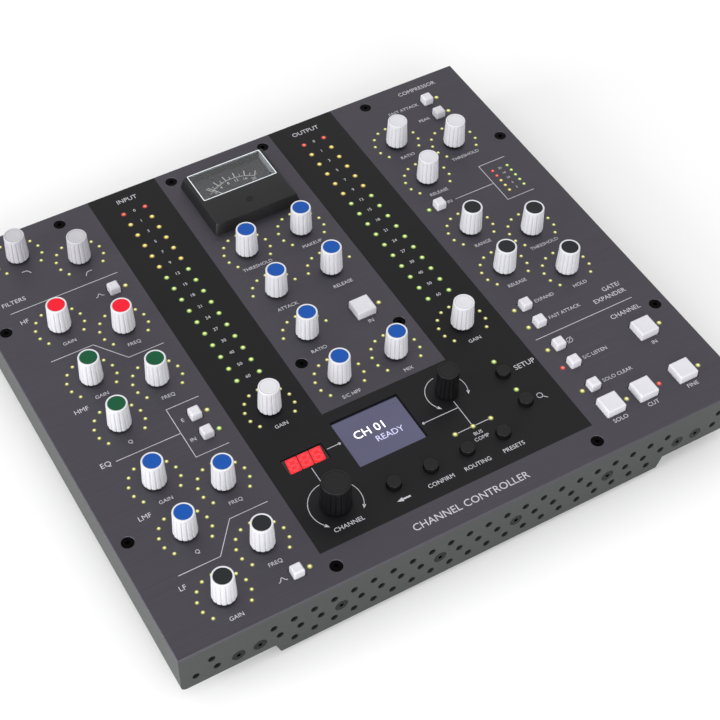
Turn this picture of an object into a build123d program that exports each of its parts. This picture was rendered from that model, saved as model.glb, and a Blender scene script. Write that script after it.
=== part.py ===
from build123d import *
import math
import os

# Desktop mixing controller: a flat folded-steel tray, an aluminium top plate, one control
# board with encoders, switches, lamps and displays, a moving-coil meter, and the knobs and
# keys that the hand turns and presses.
#
# Units are millimetres. +X is right, +Y is away from the user, +Z is up. The origin is on
# the table, under the middle of the plate.

# ---------------------------------------------------------------- overall sizes
PLATE_W = 298.0  # top plate, left to right
PLATE_D = 264.0  # top plate, front to back
PLATE_T = 2.0  # top plate thickness
PLATE_EDGE_CHAMFER = 0.4
BODY_H = 32.0  # plate top to tray underside, in the deep middle
FLANK_H = 25.0  # plate top to tray underside, at the shallow sides
DEEP_HALF_W = 101.0  # half the width of the deep middle, at its underside
STEP_SLOPE_W = 2.5  # sideways run of the sloping step
TRAY_T = 1.2  # steel thickness
TRAY_CORNER_R = 3.0  # bend radius under the left and right walls
FOOT_H = 3.5
FOOT_R = 8.0
FOOT_INSET_X = 16.0  # foot centre from the edge of the deep middle
FOOT_INSET_Y = 20.0  # foot centre from the front and rear walls

Z_TRAY = FOOT_H  # underside of the tray
Z_TOP = FOOT_H + BODY_H  # top of the plate
Z_UNDER = Z_TOP - PLATE_T  # underside of the plate

# ---------------------------------------------------------------- running gaps
ROTARY_GAP = 0.2  # round a turning shaft
KEY_GAP = 0.3  # round a key in the plate
LAMP_GAP = 0.1  # round a light pipe in the plate
SEAT_GAP = 0.3  # round a fixed piece in its cut-out

# ---------------------------------------------------------------- control board
BOARD_GAP = 6.5  # plate underside to board top
BOARD_T = 1.6
BOARD_MARGIN = 6.0  # board edge to the tray's inner walls
Z_BOARD = Z_UNDER - BOARD_GAP  # top of the board

# ---------------------------------------------------------------- knobs and encoders
KNOB_LIFT = 1.0  # knob skirt above the plate
KNOB_TOP = 15.7  # knob top above the plate
KNOB_BASE_R = 5.7
KNOB_HEAD_R = 5.05
KNOB_CAP_R = 4.25
KNOB_CAP_T = 1.2
JOG_TOP = 16.5  # the large selector knob
JOG_BASE_R = 7.6
JOG_HEAD_R = 6.7
JOG_CAP_R = 5.9
PUSH_TOP = 16.2  # the black secondary selector
PUSH_BASE_R = 5.9
PUSH_HEAD_R = 5.0
PUSH_CAP_R = 4.3
SHAFT_R = 3.0
SHAFT_IN_KNOB = 10.0
SHAFT_CHAMFER = 0.4
ENCODER_SIDE = 11.6
ENCODER_H = 5.4
ENCODER_FLOOR = 1.4
SHAFT_HOLE_R = 3.8

# ---------------------------------------------------------------- keys and switches
KEY_SIDE = 5.7
PAD_SIDE = 10.4
KEY_H = 4.0  # square keys above the plate
KEY_BEVEL = 0.5
PAD_BEVEL = 0.9
DOT_R = 3.4
DOT_H = 2.6  # round keys above the plate
DOT_BEVEL = 0.5
KEY_LIP = 0.8  # retaining lip, wider than the hole
KEY_LIP_T = 0.8
KEY_LIP_DROP = 0.4  # lip top below the plate
KEY_TRAVEL = 0.8
STEM_R = 1.5
STEM_INTO_SWITCH = 0.3
SWITCH_SIDE = 6.0
SWITCH_H = 2.8
SWITCH_BORE_DEPTH = 1.4

# ---------------------------------------------------------------- lamps
RING_R = 12.0  # lamps round a knob
RING_STEP = 26.0  # degrees between ring lamps
RING_HOLE_R = 0.75
LAMP_HOLE_R = 1.0
LAMP_SINK = 0.3  # light pipe end below the plate top
STRIP_X = 52.8  # centre of each level meter strip
STRIP_HALF = 6.0  # half the gap between a strip's two columns
STRIP_TOP_Y = 114.9
STRIP_PITCH = 8.4
STRIP_ROWS = 16
REDUCTION_X = 128.1
REDUCTION_HALF = 4.5
REDUCTION_TOP_Y = 49.0
REDUCTION_PITCH = 4.0
REDUCTION_ROWS = 5
KEY_LAMP_OFFSET = 6.2  # lamp centre from a small key's centre
PAD_LAMP_OFFSET = 9.1
DOT_LAMP_OFFSET = 7.9

# ---------------------------------------------------------------- column and row lines
OUTER_X = 117.6  # outer knob columns, left and right
INNER_X = 90.8  # inner knob columns
CENTRE_X = 15.5  # the two middle knob columns
STAGGER = 15.6  # inner knobs sit this far below outer ones
MIDDLE_Y = 61.2  # first row of the middle block
MIDDLE_PITCH = 31.3
KEY_LEFT_X = -85.0
KEY_RIGHT_X = 85.6
PAD_RIGHT_X = 127.1
JOG_Y = -95.0
SELECT_X = 23.6
SELECT_Y = -65.3
DOT_ROW_Y = -98.6
DOT_PITCH = 19.5
DOT_FIRST_X = -25.0
DOT_SIDE_X = 53.0

# name, x, y, number of lamps each side of the top one
RING_KNOBS = [
    ("low_pass_knob", -OUTER_X, 113.6, 5),
    ("high_pass_knob", -INNER_X, 98.0, 5),
    ("hf_gain_knob", -OUTER_X, MIDDLE_Y, 5),
    ("hf_freq_knob", -INNER_X, MIDDLE_Y - STAGGER, 5),
    ("hmf_gain_knob", -OUTER_X, 23.8, 5),
    ("hmf_freq_knob", -INNER_X, 23.8 - STAGGER, 5),
    ("hmf_width_knob", -OUTER_X, 23.8 - 2 * STAGGER, 5),
    ("lmf_gain_knob", -OUTER_X, -44.6, 5),
    ("lmf_freq_knob", -INNER_X, -44.6 - STAGGER, 5),
    ("lmf_width_knob", -OUTER_X, -44.6 - 2 * STAGGER, 5),
    ("lf_freq_knob", -INNER_X, -97.4, 5),
    ("lf_gain_knob", -OUTER_X, -97.4 - STAGGER, 5),
    ("input_gain_knob", -STRIP_X, MIDDLE_Y - 3 * MIDDLE_PITCH, 5),
    ("output_gain_knob", STRIP_X, MIDDLE_Y - 3 * MIDDLE_PITCH, 5),
    ("bus_threshold_knob", -CENTRE_X, MIDDLE_Y, 5),
    ("bus_makeup_knob", CENTRE_X, MIDDLE_Y, 5),
    ("bus_attack_knob", -CENTRE_X, MIDDLE_Y - MIDDLE_PITCH, 3),
    ("bus_release_knob", CENTRE_X, MIDDLE_Y - MIDDLE_PITCH, 3),
    ("bus_ratio_knob", -CENTRE_X, MIDDLE_Y - 2 * MIDDLE_PITCH, 3),
    ("bus_filter_knob", -CENTRE_X, MIDDLE_Y - 3 * MIDDLE_PITCH, 5),
    ("bus_mix_knob", CENTRE_X, MIDDLE_Y - 3 * MIDDLE_PITCH, 5),
    ("comp_ratio_knob", INNER_X, 92.4, 5),
    ("comp_threshold_knob", OUTER_X, 77.8, 5),
    ("comp_release_knob", INNER_X, MIDDLE_Y, 5),
    ("gate_range_knob", INNER_X, 19.2, 5),
    ("gate_threshold_knob", OUTER_X, 19.2 - STAGGER, 5),
    ("gate_release_knob", INNER_X, 19.2 - 2 * STAGGER, 5),
    ("gate_hold_knob", OUTER_X, 19.2 - 3 * STAGGER, 5),
]

# name, x, y, side of the lamp: +1 right, -1 left
SMALL_KEYS = [
    ("hf_bell_key", KEY_LEFT_X, 69.9, 1),
    ("eq_type_key", KEY_LEFT_X, -19.6, 1),
    ("eq_in_key", KEY_LEFT_X, -32.0, 1),
    ("lf_bell_key", KEY_LEFT_X, -118.0, 1),
    ("comp_fast_key", 122.1, 112.7, 1),
    ("comp_peak_key", 122.1, 100.4, 1),
    ("dynamics_in_key", KEY_RIGHT_X, 40.8, -1),
    ("gate_expand_key", KEY_RIGHT_X, -38.3, -1),
    ("gate_fast_key", KEY_RIGHT_X, -50.8, -1),
    ("polarity_key", KEY_RIGHT_X, -67.2, -1),
    ("sidechain_listen_key", KEY_RIGHT_X, -79.8, -1),
    ("solo_clear_key", KEY_RIGHT_X, -95.9, -1),
]
LARGE_KEYS = [
    ("bus_in_key", 15.4, -1.2),
    ("channel_in_key", PAD_RIGHT_X, -79.3),
    ("solo_key", KEY_RIGHT_X, -109.9),
    ("cut_key", 104.3, -109.9),
    ("fine_key", PAD_RIGHT_X, -109.9),
]
# name, x, y, has its own lamp
ROUND_KEYS = [
    ("back_key", DOT_FIRST_X, DOT_ROW_Y, False),
    ("confirm_key", DOT_FIRST_X + DOT_PITCH, DOT_ROW_Y, False),
    ("routing_key", DOT_FIRST_X + 2 * DOT_PITCH, DOT_ROW_Y, False),
    ("presets_key", DOT_FIRST_X + 3 * DOT_PITCH, DOT_ROW_Y, False),
    ("layer_key", DOT_SIDE_X, -68.6, True),
    ("zoom_key", DOT_SIDE_X, -87.9, True),
]
MODE_LAMP_Y = -88.3
MODE_LAMP_PITCH = 9.7

# ---------------------------------------------------------------- displays
SCREEN_X = -15.3
SCREEN_Y = -68.7
SCREEN_W = 36.0
SCREEN_D = 28.6
SCREEN_SINK = 3.0  # screen face below the plate top
SCREEN_MARGIN = 1.0  # module wider than its cut-out
DIGITS_X = -52.8
DIGITS_Y = -67.0
DIGITS_W = 21.4
DIGITS_D = 9.6
DIGITS_SINK = 0.6

# ---------------------------------------------------------------- moving-coil meter
METER_W = 46.0  # case top, left to right
METER_D = 38.8  # case top, front to back
METER_H = 6.5  # case above the plate
METER_DRAFT = 1.6  # case base wider than its top, each side
METER_Y = 98.5
METER_WALL = 1.2
METER_EDGE = 0.5
METER_BODY_W = 42.0  # part below the plate
METER_BODY_D = 34.0
METER_BODY_DEPTH = 15.0
WINDOW_W = 42.2
WINDOW_D = 20.2
WINDOW_Y = METER_Y + 8.9
WINDOW_T = 1.0
DIAL_SINK = 5.7  # dial face below the case top
DIAL_T = 0.6
DIAL_MARGIN = 0.5  # dial edge to the case's inner walls
PIVOT_Y = METER_Y - 10.8
NEEDLE_L = 25.0
NEEDLE_W = 0.6
NEEDLE_T = 0.3
NEEDLE_LIFT = 1.2  # needle above the dial
NEEDLE_REST = 34.0  # degrees left of straight up
HUB_R = 2.4
HUB_H = 1.8
PIVOT_R = 0.75
PIVOT_DROP = 6.0  # pivot below the needle
MOVEMENT_R = 4.5
MOVEMENT_H = 6.0
MOVEMENT_FLOOR = 1.0  # left under the pivot's bore
MAGNET_W = 26.0
MAGNET_D = 14.0
MAGNET_H = 7.0
MAGNET_GAP = 1.0  # magnet to movement
ADJUSTER_R = 2.0
ADJUSTER_T = 1.0
SLOT_W = 0.6

# ---------------------------------------------------------------- fixings
SCREW_SIDE_X = PLATE_W / 2 - 7.0  # plate screws along the left and right edges
SCREW_REAR_Y = PLATE_D / 2 - 7.4
SCREW_FRONT_Y = -(PLATE_D / 2 - 8.7)
PLATE_SCREWS = [
    (90.3, SCREW_REAR_Y),
    (27.0, SCREW_REAR_Y),
    (SCREW_SIDE_X, 70.0),
    (27.0, -16.6),
    (SCREW_SIDE_X, -68.3),
    (68.6, SCREW_FRONT_Y),
]  # mirrored left and right
SCREW_R = 1.5
SCREW_HEAD_R = 3.0
SCREW_HEAD_H = 1.6
SCREW_GAP = 0.2
SCREW_LENGTH = 9.0
SCREW_SOCKET_R = 1.1  # hexagonal socket, across its corners / 2
SCREW_SOCKET_DEPTH = 1.0
PILLAR_R = 3.0
PILLAR_BORE_GAP = 0.05
PILLAR_BORE_BEYOND = 1.0  # bore below the screw's end
WALL_SCREWS = [20.2, 70.8, 110.9, 121.3]  # front and rear, mirrored
WALL_SCREW_DROP = 18.1
WALL_SCREW_LENGTH = 5.0
BLOCK_W = 7.0  # tapped block behind each wall screw
BLOCK_D = 4.3
BLOCK_H = 8.0

# ---------------------------------------------------------------- vents
VENT_R = 1.75
VENT_PITCH = 9.91
VENT_HIGH_DROP = 10.6
VENT_LOW_DROP = 25.6
VENT_HIGH_COUNT = 22
VENT_LOW_COUNT = 20
VENT_OUTER_X = 133.8
VENT_MID_PITCH = 10.12
VENT_MID_COUNT = 29

# ---------------------------------------------------------------- rear sockets and stand holes
SOCKET_DROP = 18.1  # socket centres below the plate top
JACK_X = -36.0
JACK_R = 2.8
JACK_SIDE = 9.0
JACK_DEPTH = 11.0
JACK_BORE = 9.0
JACK_PIN_R = 1.0
USB_X = -55.0
USB_W = 9.0
USB_H = 3.3
USB_DEPTH = 9.0
USB_WALL = 0.3
USB_MOUTH_DEPTH = 6.5
USB_TONGUE_W = 6.7
USB_TONGUE_T = 0.7
STAND_HOLE_R = 2.1
STAND_HOLE_X = 80.0  # half spacing, left to right
STAND_HOLE_Y = 100.0  # half spacing, front to back

INNER_D = PLATE_D / 2 - TRAY_T  # inner face of the front and rear walls
OVERSHOOT = 1.0  # a cutter runs this far past the face that it opens


def ring_points(x, y, reach):
    """Lamp centres round a knob: one at the top and reach more on each side."""
    angles = [math.radians(i * RING_STEP) for i in range(-reach, reach + 1)]
    return [(x + RING_R * math.sin(a), y + RING_R * math.cos(a)) for a in angles]


def small_lamp_points():
    return [p for _, x, y, reach in RING_KNOBS for p in ring_points(x, y, reach)]


def large_lamp_points():
    points = [
        (side * STRIP_X + half, STRIP_TOP_Y - row * STRIP_PITCH)
        for side in (-1, 1)
        for half in (-STRIP_HALF, STRIP_HALF)
        for row in range(STRIP_ROWS)
    ]
    points += [(x + side * KEY_LAMP_OFFSET, y) for _, x, y, side in SMALL_KEYS]
    points += [(x + PAD_LAMP_OFFSET, y) for _, x, y in LARGE_KEYS]
    points += [(x, y + DOT_LAMP_OFFSET) for _, x, y, lamp in ROUND_KEYS if lamp]
    points += [(SELECT_X + i * MODE_LAMP_PITCH, MODE_LAMP_Y) for i in (-1, 0, 1)]
    return points


def reduction_lamp_points():
    return [
        (REDUCTION_X + half, REDUCTION_TOP_Y - row * REDUCTION_PITCH)
        for half in (-REDUCTION_HALF, REDUCTION_HALF)
        for row in range(REDUCTION_ROWS)
    ]


def encoder_points():
    return [(x, y) for _, x, y, _ in RING_KNOBS] + [(-STRIP_X, JOG_Y), (SELECT_X, SELECT_Y)]


def plate_screw_points():
    return [(side * x, y) for side in (-1, 1) for x, y in PLATE_SCREWS]


def upright(radius, low, high, x=0.0, y=0.0):
    """A vertical cylinder between two heights."""
    return Pos(x, y, (low + high) / 2) * Cylinder(radius, high - low)


def block(width, depth, low, high, x=0.0, y=0.0):
    """An upright box between two heights."""
    return Pos(x, y, (low + high) / 2) * Box(width, depth, high - low)


def along_y(radius, start, end, x, z):
    """A cylinder that lies front to back."""
    return Pos(x, (start + end) / 2, z) * Rot(90, 0, 0) * Cylinder(radius, abs(end - start))


def save(node, *solids):
    """Writes one node, each of its pieces a solid of its own."""
    export_step(Compound(children=[s for shape in solids for s in shape.solids()]), f"parts/{node}.step")


# ---------------------------------------------------------------- casing


def make_plate():
    """The top plate with every opening that the hand, the eye or a screw needs."""
    openings = [Pos(x, y) * Circle(RING_HOLE_R) for x, y in small_lamp_points() + reduction_lamp_points()]
    openings += [Pos(x, y) * Circle(LAMP_HOLE_R) for x, y in large_lamp_points()]
    openings += [Pos(x, y) * Circle(SHAFT_HOLE_R) for x, y in encoder_points()]
    key_hole, pad_hole = KEY_SIDE + 2 * KEY_GAP, PAD_SIDE + 2 * KEY_GAP
    openings += [Pos(x, y) * Rectangle(key_hole, key_hole) for _, x, y, _ in SMALL_KEYS]
    openings += [Pos(x, y) * Rectangle(pad_hole, pad_hole) for _, x, y in LARGE_KEYS]
    openings += [Pos(x, y) * Circle(DOT_R + KEY_GAP) for _, x, y, _ in ROUND_KEYS]
    openings += [Pos(x, y) * Circle(SCREW_R + SCREW_GAP) for x, y in plate_screw_points()]
    openings += [
        Pos(SCREEN_X, SCREEN_Y) * Rectangle(SCREEN_W, SCREEN_D),
        Pos(DIGITS_X, DIGITS_Y) * Rectangle(DIGITS_W, DIGITS_D),
        Pos(0, METER_Y) * Rectangle(METER_BODY_W + 2 * SEAT_GAP, METER_BODY_D + 2 * SEAT_GAP),
    ]
    sheet = Pos(0, 0, Z_UNDER) * extrude(Rectangle(PLATE_W, PLATE_D) - openings, PLATE_T)
    rim = [e for e in sheet.faces().sort_by(Axis.Z)[-1].outer_wire().edges()]
    sheet = chamfer(rim, PLATE_EDGE_CHAMFER)
    sink_low = Z_TOP - SCREW_HEAD_H - SCREW_GAP
    sinks = [
        Pos(x, y, (sink_low + Z_TOP) / 2)
        * Cone(SCREW_R + SCREW_GAP, SCREW_HEAD_R + SCREW_GAP, Z_TOP - sink_low)
        for x, y in plate_screw_points()
    ]
    return sheet - sinks


def tray_profile(inset):
    """The tray's cross-section seen from the front, moved inwards by inset."""
    wall_x = PLATE_W / 2 - inset
    deep_x = DEEP_HALF_W - inset
    flank_z = Z_TOP - FLANK_H + inset
    deep_z = Z_TRAY + inset
    half = [(deep_x, deep_z), (deep_x + STEP_SLOPE_W, flank_z), (wall_x, flank_z), (wall_x, Z_UNDER)]
    points = half + [(-x, z) for x, z in reversed(half)]
    outline = make_face(Polyline(*points, close=True))
    low_corners = outline.vertices().group_by(Axis.Y)[1].sort_by(Axis.X)
    return fillet([low_corners[0], low_corners[-1]], TRAY_CORNER_R - inset)


def vent_points():
    """(x, drop below the plate top) of each vent in the front and rear walls."""
    half = (VENT_HIGH_COUNT - 1) / 2
    points = [((i - half) * VENT_PITCH, VENT_HIGH_DROP) for i in range(VENT_HIGH_COUNT)]
    half = (VENT_LOW_COUNT - 1) / 2
    points += [((i - half) * VENT_PITCH, VENT_LOW_DROP) for i in range(VENT_LOW_COUNT)]
    points += [(side * VENT_OUTER_X, VENT_HIGH_DROP) for side in (-1, 1)]
    half = (VENT_MID_COUNT - 1) / 2
    for i in range(VENT_MID_COUNT):
        x = (i - half) * VENT_MID_PITCH
        if min(abs(abs(x) - s) for s in WALL_SCREWS) > SCREW_HEAD_R + VENT_R:
            points.append((x, WALL_SCREW_DROP))
    return points


def clear_of_sockets(x):
    """True where the rear wall has room for a vent or a screw beside the sockets."""
    near_jack = abs(x - JACK_X) < JACK_SIDE / 2 + 2 * SCREW_HEAD_R
    near_usb = abs(x - USB_X) < USB_W / 2 + 2 * SCREW_HEAD_R
    return not (near_jack or near_usb)


def make_tray():
    """The folded tray with its vents, screw holes, socket holes and stand holes."""
    outer = Pos(0, PLATE_D / 2, 0) * Rot(90, 0, 0) * extrude(tray_profile(0), PLATE_D)
    inner = Pos(0, INNER_D, 0) * Rot(90, 0, 0) * extrude(tray_profile(TRAY_T), 2 * INNER_D)
    tray = outer - inner
    front, rear = -PLATE_D / 2, PLATE_D / 2
    cuts = [along_y(VENT_R, front - OVERSHOOT, front + 2 * TRAY_T, x, Z_TOP - d) for x, d in vent_points()]
    cuts += [
        along_y(VENT_R, rear - 2 * TRAY_T, rear + OVERSHOOT, x, Z_TOP - d)
        for x, d in vent_points()
        if clear_of_sockets(x)
    ]
    for x, side in wall_screw_places():
        wall_y = side * PLATE_D / 2
        screw_z = Z_TOP - WALL_SCREW_DROP
        cuts.append(along_y(SCREW_HEAD_R + SCREW_GAP, wall_y - 2 * TRAY_T, wall_y + 2 * TRAY_T, x, screw_z))
    socket_z = Z_TOP - SOCKET_DROP
    jack_hole = JACK_SIDE + 2 * SEAT_GAP
    cuts.append(Pos(JACK_X, rear, socket_z) * Box(jack_hole, 4 * TRAY_T, jack_hole))
    usb_hole = extrude(SlotOverall(USB_W + 2 * SEAT_GAP, USB_H + 2 * SEAT_GAP), 2 * TRAY_T, both=True)
    cuts.append(Pos(USB_X, rear, socket_z) * Rot(90, 0, 0) * usb_hole)
    cuts += [
        upright(
            STAND_HOLE_R,
            Z_TRAY - OVERSHOOT,
            Z_TRAY + TRAY_T + OVERSHOOT,
            sx * STAND_HOLE_X,
            sy * STAND_HOLE_Y,
        )
        for sx in (-1, 1)
        for sy in (-1, 1)
    ]
    return tray - cuts


def make_pillars():
    """Tapped pillars under the plate screws."""
    made = []
    for x, y in plate_screw_points():
        floor = (Z_TRAY if abs(x) < DEEP_HALF_W else Z_TOP - FLANK_H) + TRAY_T
        bore_low = Z_TOP - SCREW_LENGTH - PILLAR_BORE_BEYOND
        bore = upright(SCREW_R + PILLAR_BORE_GAP, bore_low, Z_UNDER + OVERSHOOT, x, y)
        made.append(upright(PILLAR_R, floor, Z_UNDER, x, y) - bore)
    return made


def wall_screw_places():
    """(x, wall side) of each wall screw; the rear sockets take the place of none."""
    places = []
    for side_y in (-1, 1):
        for x in WALL_SCREWS:
            for side in (-1, 1):
                if side_y < 0 or clear_of_sockets(side * x):
                    places.append((side * x, side_y))
    return places


def make_wall_blocks():
    """Tapped blocks behind the walls, one for each wall screw."""
    made = []
    z = Z_TOP - WALL_SCREW_DROP
    low = max(z - BLOCK_H / 2, Z_TOP - FLANK_H + TRAY_T + SEAT_GAP)
    for x, side in wall_screw_places():
        wall_y = side * INNER_D
        inner_y = side * (INNER_D - BLOCK_D)
        body = block(BLOCK_W, BLOCK_D, low, z + BLOCK_H / 2, x, (wall_y + inner_y) / 2)
        made.append(body - along_y(SCREW_R + PILLAR_BORE_GAP, wall_y, inner_y, x, z))
    return made


# ---------------------------------------------------------------- control board


def make_encoder_body(x, y):
    top = Z_BOARD + ENCODER_H
    body = block(ENCODER_SIDE, ENCODER_SIDE, Z_BOARD, top, x, y)
    return body - upright(SHAFT_R + ROTARY_GAP, Z_BOARD + ENCODER_FLOOR, top + OVERSHOOT, x, y)


def make_switch_body(x, y):
    top = Z_BOARD + SWITCH_H
    body = block(SWITCH_SIDE, SWITCH_SIDE, Z_BOARD, top, x, y)
    return body - upright(STEM_R + ROTARY_GAP, top - SWITCH_BORE_DEPTH, top + OVERSHOOT, x, y)


def make_light_pipes():
    top = Z_TOP - LAMP_SINK
    small = small_lamp_points() + reduction_lamp_points()
    pipes = [upright(RING_HOLE_R - LAMP_GAP, Z_BOARD, top, x, y) for x, y in small]
    return pipes + [upright(LAMP_HOLE_R - LAMP_GAP, Z_BOARD, top, x, y) for x, y in large_lamp_points()]


def make_displays():
    """The screen module and the three-digit module, standing on the board."""
    screen_top = Z_TOP - SCREEN_SINK
    screen = block(
        SCREEN_W + 2 * SCREEN_MARGIN, SCREEN_D + 2 * SCREEN_MARGIN, Z_BOARD, screen_top, SCREEN_X, SCREEN_Y
    )
    digits = block(
        DIGITS_W - 2 * SEAT_GAP, DIGITS_D - 2 * SEAT_GAP, Z_BOARD, Z_TOP - DIGITS_SINK, DIGITS_X, DIGITS_Y
    )
    return [screen, digits]


def make_sockets():
    """The power jack and the data socket, hung under the board's rear edge."""
    z = Z_TOP - SOCKET_DROP
    rear = PLATE_D / 2
    jack = Pos(JACK_X, rear - JACK_DEPTH / 2, z) * Box(JACK_SIDE, JACK_DEPTH, JACK_SIDE)
    jack -= along_y(JACK_R, rear - JACK_BORE, rear + OVERSHOOT, JACK_X, z)
    jack += along_y(JACK_PIN_R, rear - JACK_BORE, rear - JACK_PIN_R, JACK_X, z)
    face = Pos(USB_X, rear, z) * Rot(90, 0, 0)
    usb = face * extrude(SlotOverall(USB_W, USB_H), USB_DEPTH)
    usb -= face * extrude(SlotOverall(USB_W - 2 * USB_WALL, USB_H - 2 * USB_WALL), USB_MOUTH_DEPTH)
    tongue = Box(USB_TONGUE_W, USB_MOUTH_DEPTH, USB_TONGUE_T)
    usb += Pos(USB_X, rear - USB_MOUTH_DEPTH / 2 - USB_WALL, z) * tongue
    return [jack, usb]


def make_board():
    """The board with what is soldered to it, each a solid of its own."""
    board_w = PLATE_W - 2 * (TRAY_T + BOARD_MARGIN)
    board_d = PLATE_D - 2 * (TRAY_T + BOARD_MARGIN)
    board = Rectangle(board_w, board_d)
    cuts = [Pos(x, y) * Circle(PILLAR_R + SEAT_GAP) for x, y in plate_screw_points()]
    room_w = METER_BODY_W + 4 * SEAT_GAP
    room_d = METER_BODY_D + 4 * SEAT_GAP
    cuts.append(Pos(0, METER_Y) * Rectangle(room_w, room_d))
    for x, width in ((JACK_X, JACK_SIDE), (USB_X, USB_W)):
        reach = 2 * (JACK_DEPTH + SEAT_GAP)
        cuts.append(Pos(x, PLATE_D / 2) * Rectangle(width + 4 * SEAT_GAP, reach))
    sheet = Pos(0, 0, Z_BOARD - BOARD_T) * extrude(board - cuts, BOARD_T)
    encoders = [make_encoder_body(x, y) for x, y in encoder_points()]
    keys = [row[1:3] for row in SMALL_KEYS + LARGE_KEYS + ROUND_KEYS]
    switches = [make_switch_body(x, y) for x, y in keys]
    return [sheet, *encoders, *switches, *make_light_pipes(), *make_displays(), *make_sockets()]


# ---------------------------------------------------------------- knobs and keys


def make_knob(x, y, base_r, head_r, cap_r, top):
    """A tapered knob, its cap disc and the encoder shaft that it is pressed on."""
    low, high = Z_TOP + KNOB_LIFT, Z_TOP + top
    shell = Pos(x, y, (low + high) / 2) * Cone(base_r, head_r, high - low)
    shaft_top = low + SHAFT_IN_KNOB
    shell -= upright(cap_r, high - KNOB_CAP_T, high + OVERSHOOT, x, y)
    shell -= upright(SHAFT_R, low - OVERSHOOT, shaft_top, x, y)
    cap = upright(cap_r, high - KNOB_CAP_T, high, x, y)
    shaft = upright(SHAFT_R, Z_BOARD + ENCODER_FLOOR + ROTARY_GAP, shaft_top, x, y)
    return [shell, cap, chamfer(shaft.edges().sort_by(Axis.Z)[0], SHAFT_CHAMFER)]


def make_key(x, y, outline, lip, height, bevel):
    """A key cap with its retaining lip, and the stem that works the switch below it."""
    lip_top = Z_UNDER - KEY_LIP_DROP
    lip_low = lip_top - KEY_LIP_T
    cap = Pos(x, y, lip_top) * extrude(outline, Z_TOP + height - lip_top)
    cap = chamfer(cap.faces().sort_by(Axis.Z)[-1].edges(), bevel)
    cap += Pos(x, y, lip_low) * extrude(lip, KEY_LIP_T)
    stem_low = Z_BOARD + SWITCH_H - STEM_INTO_SWITCH
    stem = upright(STEM_R, stem_low, lip_low, x, y)
    return [cap, stem]


def make_square_key(x, y, side, bevel):
    lip_side = side + 2 * KEY_LIP
    return make_key(x, y, Rectangle(side, side), Rectangle(lip_side, lip_side), KEY_H, bevel)


def make_round_key(x, y):
    return make_key(x, y, Circle(DOT_R), Circle(DOT_R + KEY_LIP), DOT_H, DOT_BEVEL)


# ---------------------------------------------------------------- meter


def make_meter_case():
    """The meter's case, window, dial, movement and zero adjuster."""
    top = Z_TOP + METER_H
    base = Rectangle(METER_W + 2 * METER_DRAFT, METER_D + 2 * METER_DRAFT)
    taper = math.degrees(math.atan(METER_DRAFT / METER_H))
    case = Pos(0, METER_Y, Z_TOP) * extrude(base, METER_H, taper=taper)
    case = fillet(case.edges() - case.faces().sort_by(Axis.Z)[0].edges(), METER_EDGE)
    bottom = Z_UNDER - METER_BODY_DEPTH
    case += block(METER_BODY_W, METER_BODY_D, bottom, Z_TOP, 0, METER_Y)
    room_w = METER_BODY_W - 2 * METER_WALL
    room_d = METER_BODY_D - 2 * METER_WALL
    case -= block(room_w, room_d, bottom + METER_WALL, Z_TOP, 0, METER_Y)
    hollow_w = METER_W - 2 * METER_WALL
    hollow_d = METER_D - 2 * METER_WALL
    case -= block(hollow_w, hollow_d, Z_TOP, top - METER_WALL, 0, METER_Y)
    case -= block(WINDOW_W, WINDOW_D, top - METER_WALL - OVERSHOOT, top + OVERSHOOT, 0, WINDOW_Y)
    case -= upright(ADJUSTER_R, top - ADJUSTER_T, top + OVERSHOOT, 0, PIVOT_Y)
    window = block(WINDOW_W, WINDOW_D, top - WINDOW_T, top, 0, WINDOW_Y)
    dial_top = top - DIAL_SINK
    dial_w = hollow_w - 2 * DIAL_MARGIN
    dial_d = hollow_d - 2 * DIAL_MARGIN
    dial = block(dial_w, dial_d, dial_top - DIAL_T, dial_top, 0, METER_Y)
    dial -= upright(PIVOT_R + ROTARY_GAP, Z_UNDER, top, 0, PIVOT_Y)
    adjuster = upright(ADJUSTER_R, top - ADJUSTER_T, top, 0, PIVOT_Y)
    adjuster -= Pos(0, PIVOT_Y, top) * Box(2 * ADJUSTER_R, SLOT_W, ADJUSTER_T)
    floor = bottom + METER_WALL
    movement = upright(MOVEMENT_R, floor, floor + MOVEMENT_H, 0, PIVOT_Y)
    bore_top = floor + MOVEMENT_H + OVERSHOOT
    movement -= upright(PIVOT_R + ROTARY_GAP, floor + MOVEMENT_FLOOR, bore_top, 0, PIVOT_Y)
    magnet_y = PIVOT_Y + MOVEMENT_R + MAGNET_GAP + MAGNET_D / 2
    magnet = block(MAGNET_W, MAGNET_D, floor, floor + MAGNET_H, 0, magnet_y)
    return [case, window, dial, adjuster, movement, magnet]


def make_needle():
    """The needle on its hub, and the pivot that carries it."""
    low = Z_TOP + METER_H - DIAL_SINK + NEEDLE_LIFT
    pointer = Pos(0, NEEDLE_L / 2, 0) * Box(NEEDLE_W, NEEDLE_L, NEEDLE_T)
    swing = Pos(0, PIVOT_Y, low + NEEDLE_T / 2) * Rot(0, 0, NEEDLE_REST)
    hub_low = low + NEEDLE_T / 2 - HUB_H / 2
    hub = upright(HUB_R, hub_low, hub_low + HUB_H, 0, PIVOT_Y)
    pivot = upright(PIVOT_R, low - PIVOT_DROP - MOVEMENT_H, hub_low, 0, PIVOT_Y)
    return [swing * pointer + hub, pivot]


# ---------------------------------------------------------------- screws and feet


def make_screw(length, head_h):
    """A countersunk screw, head up, its head's top at height zero."""
    screw = Pos(0, 0, -head_h / 2) * Cone(SCREW_R, SCREW_HEAD_R, head_h)
    screw += upright(SCREW_R, -length, -head_h)
    socket = extrude(RegularPolygon(SCREW_SOCKET_R, 6), SCREW_SOCKET_DEPTH, both=True)
    return screw - socket


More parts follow.
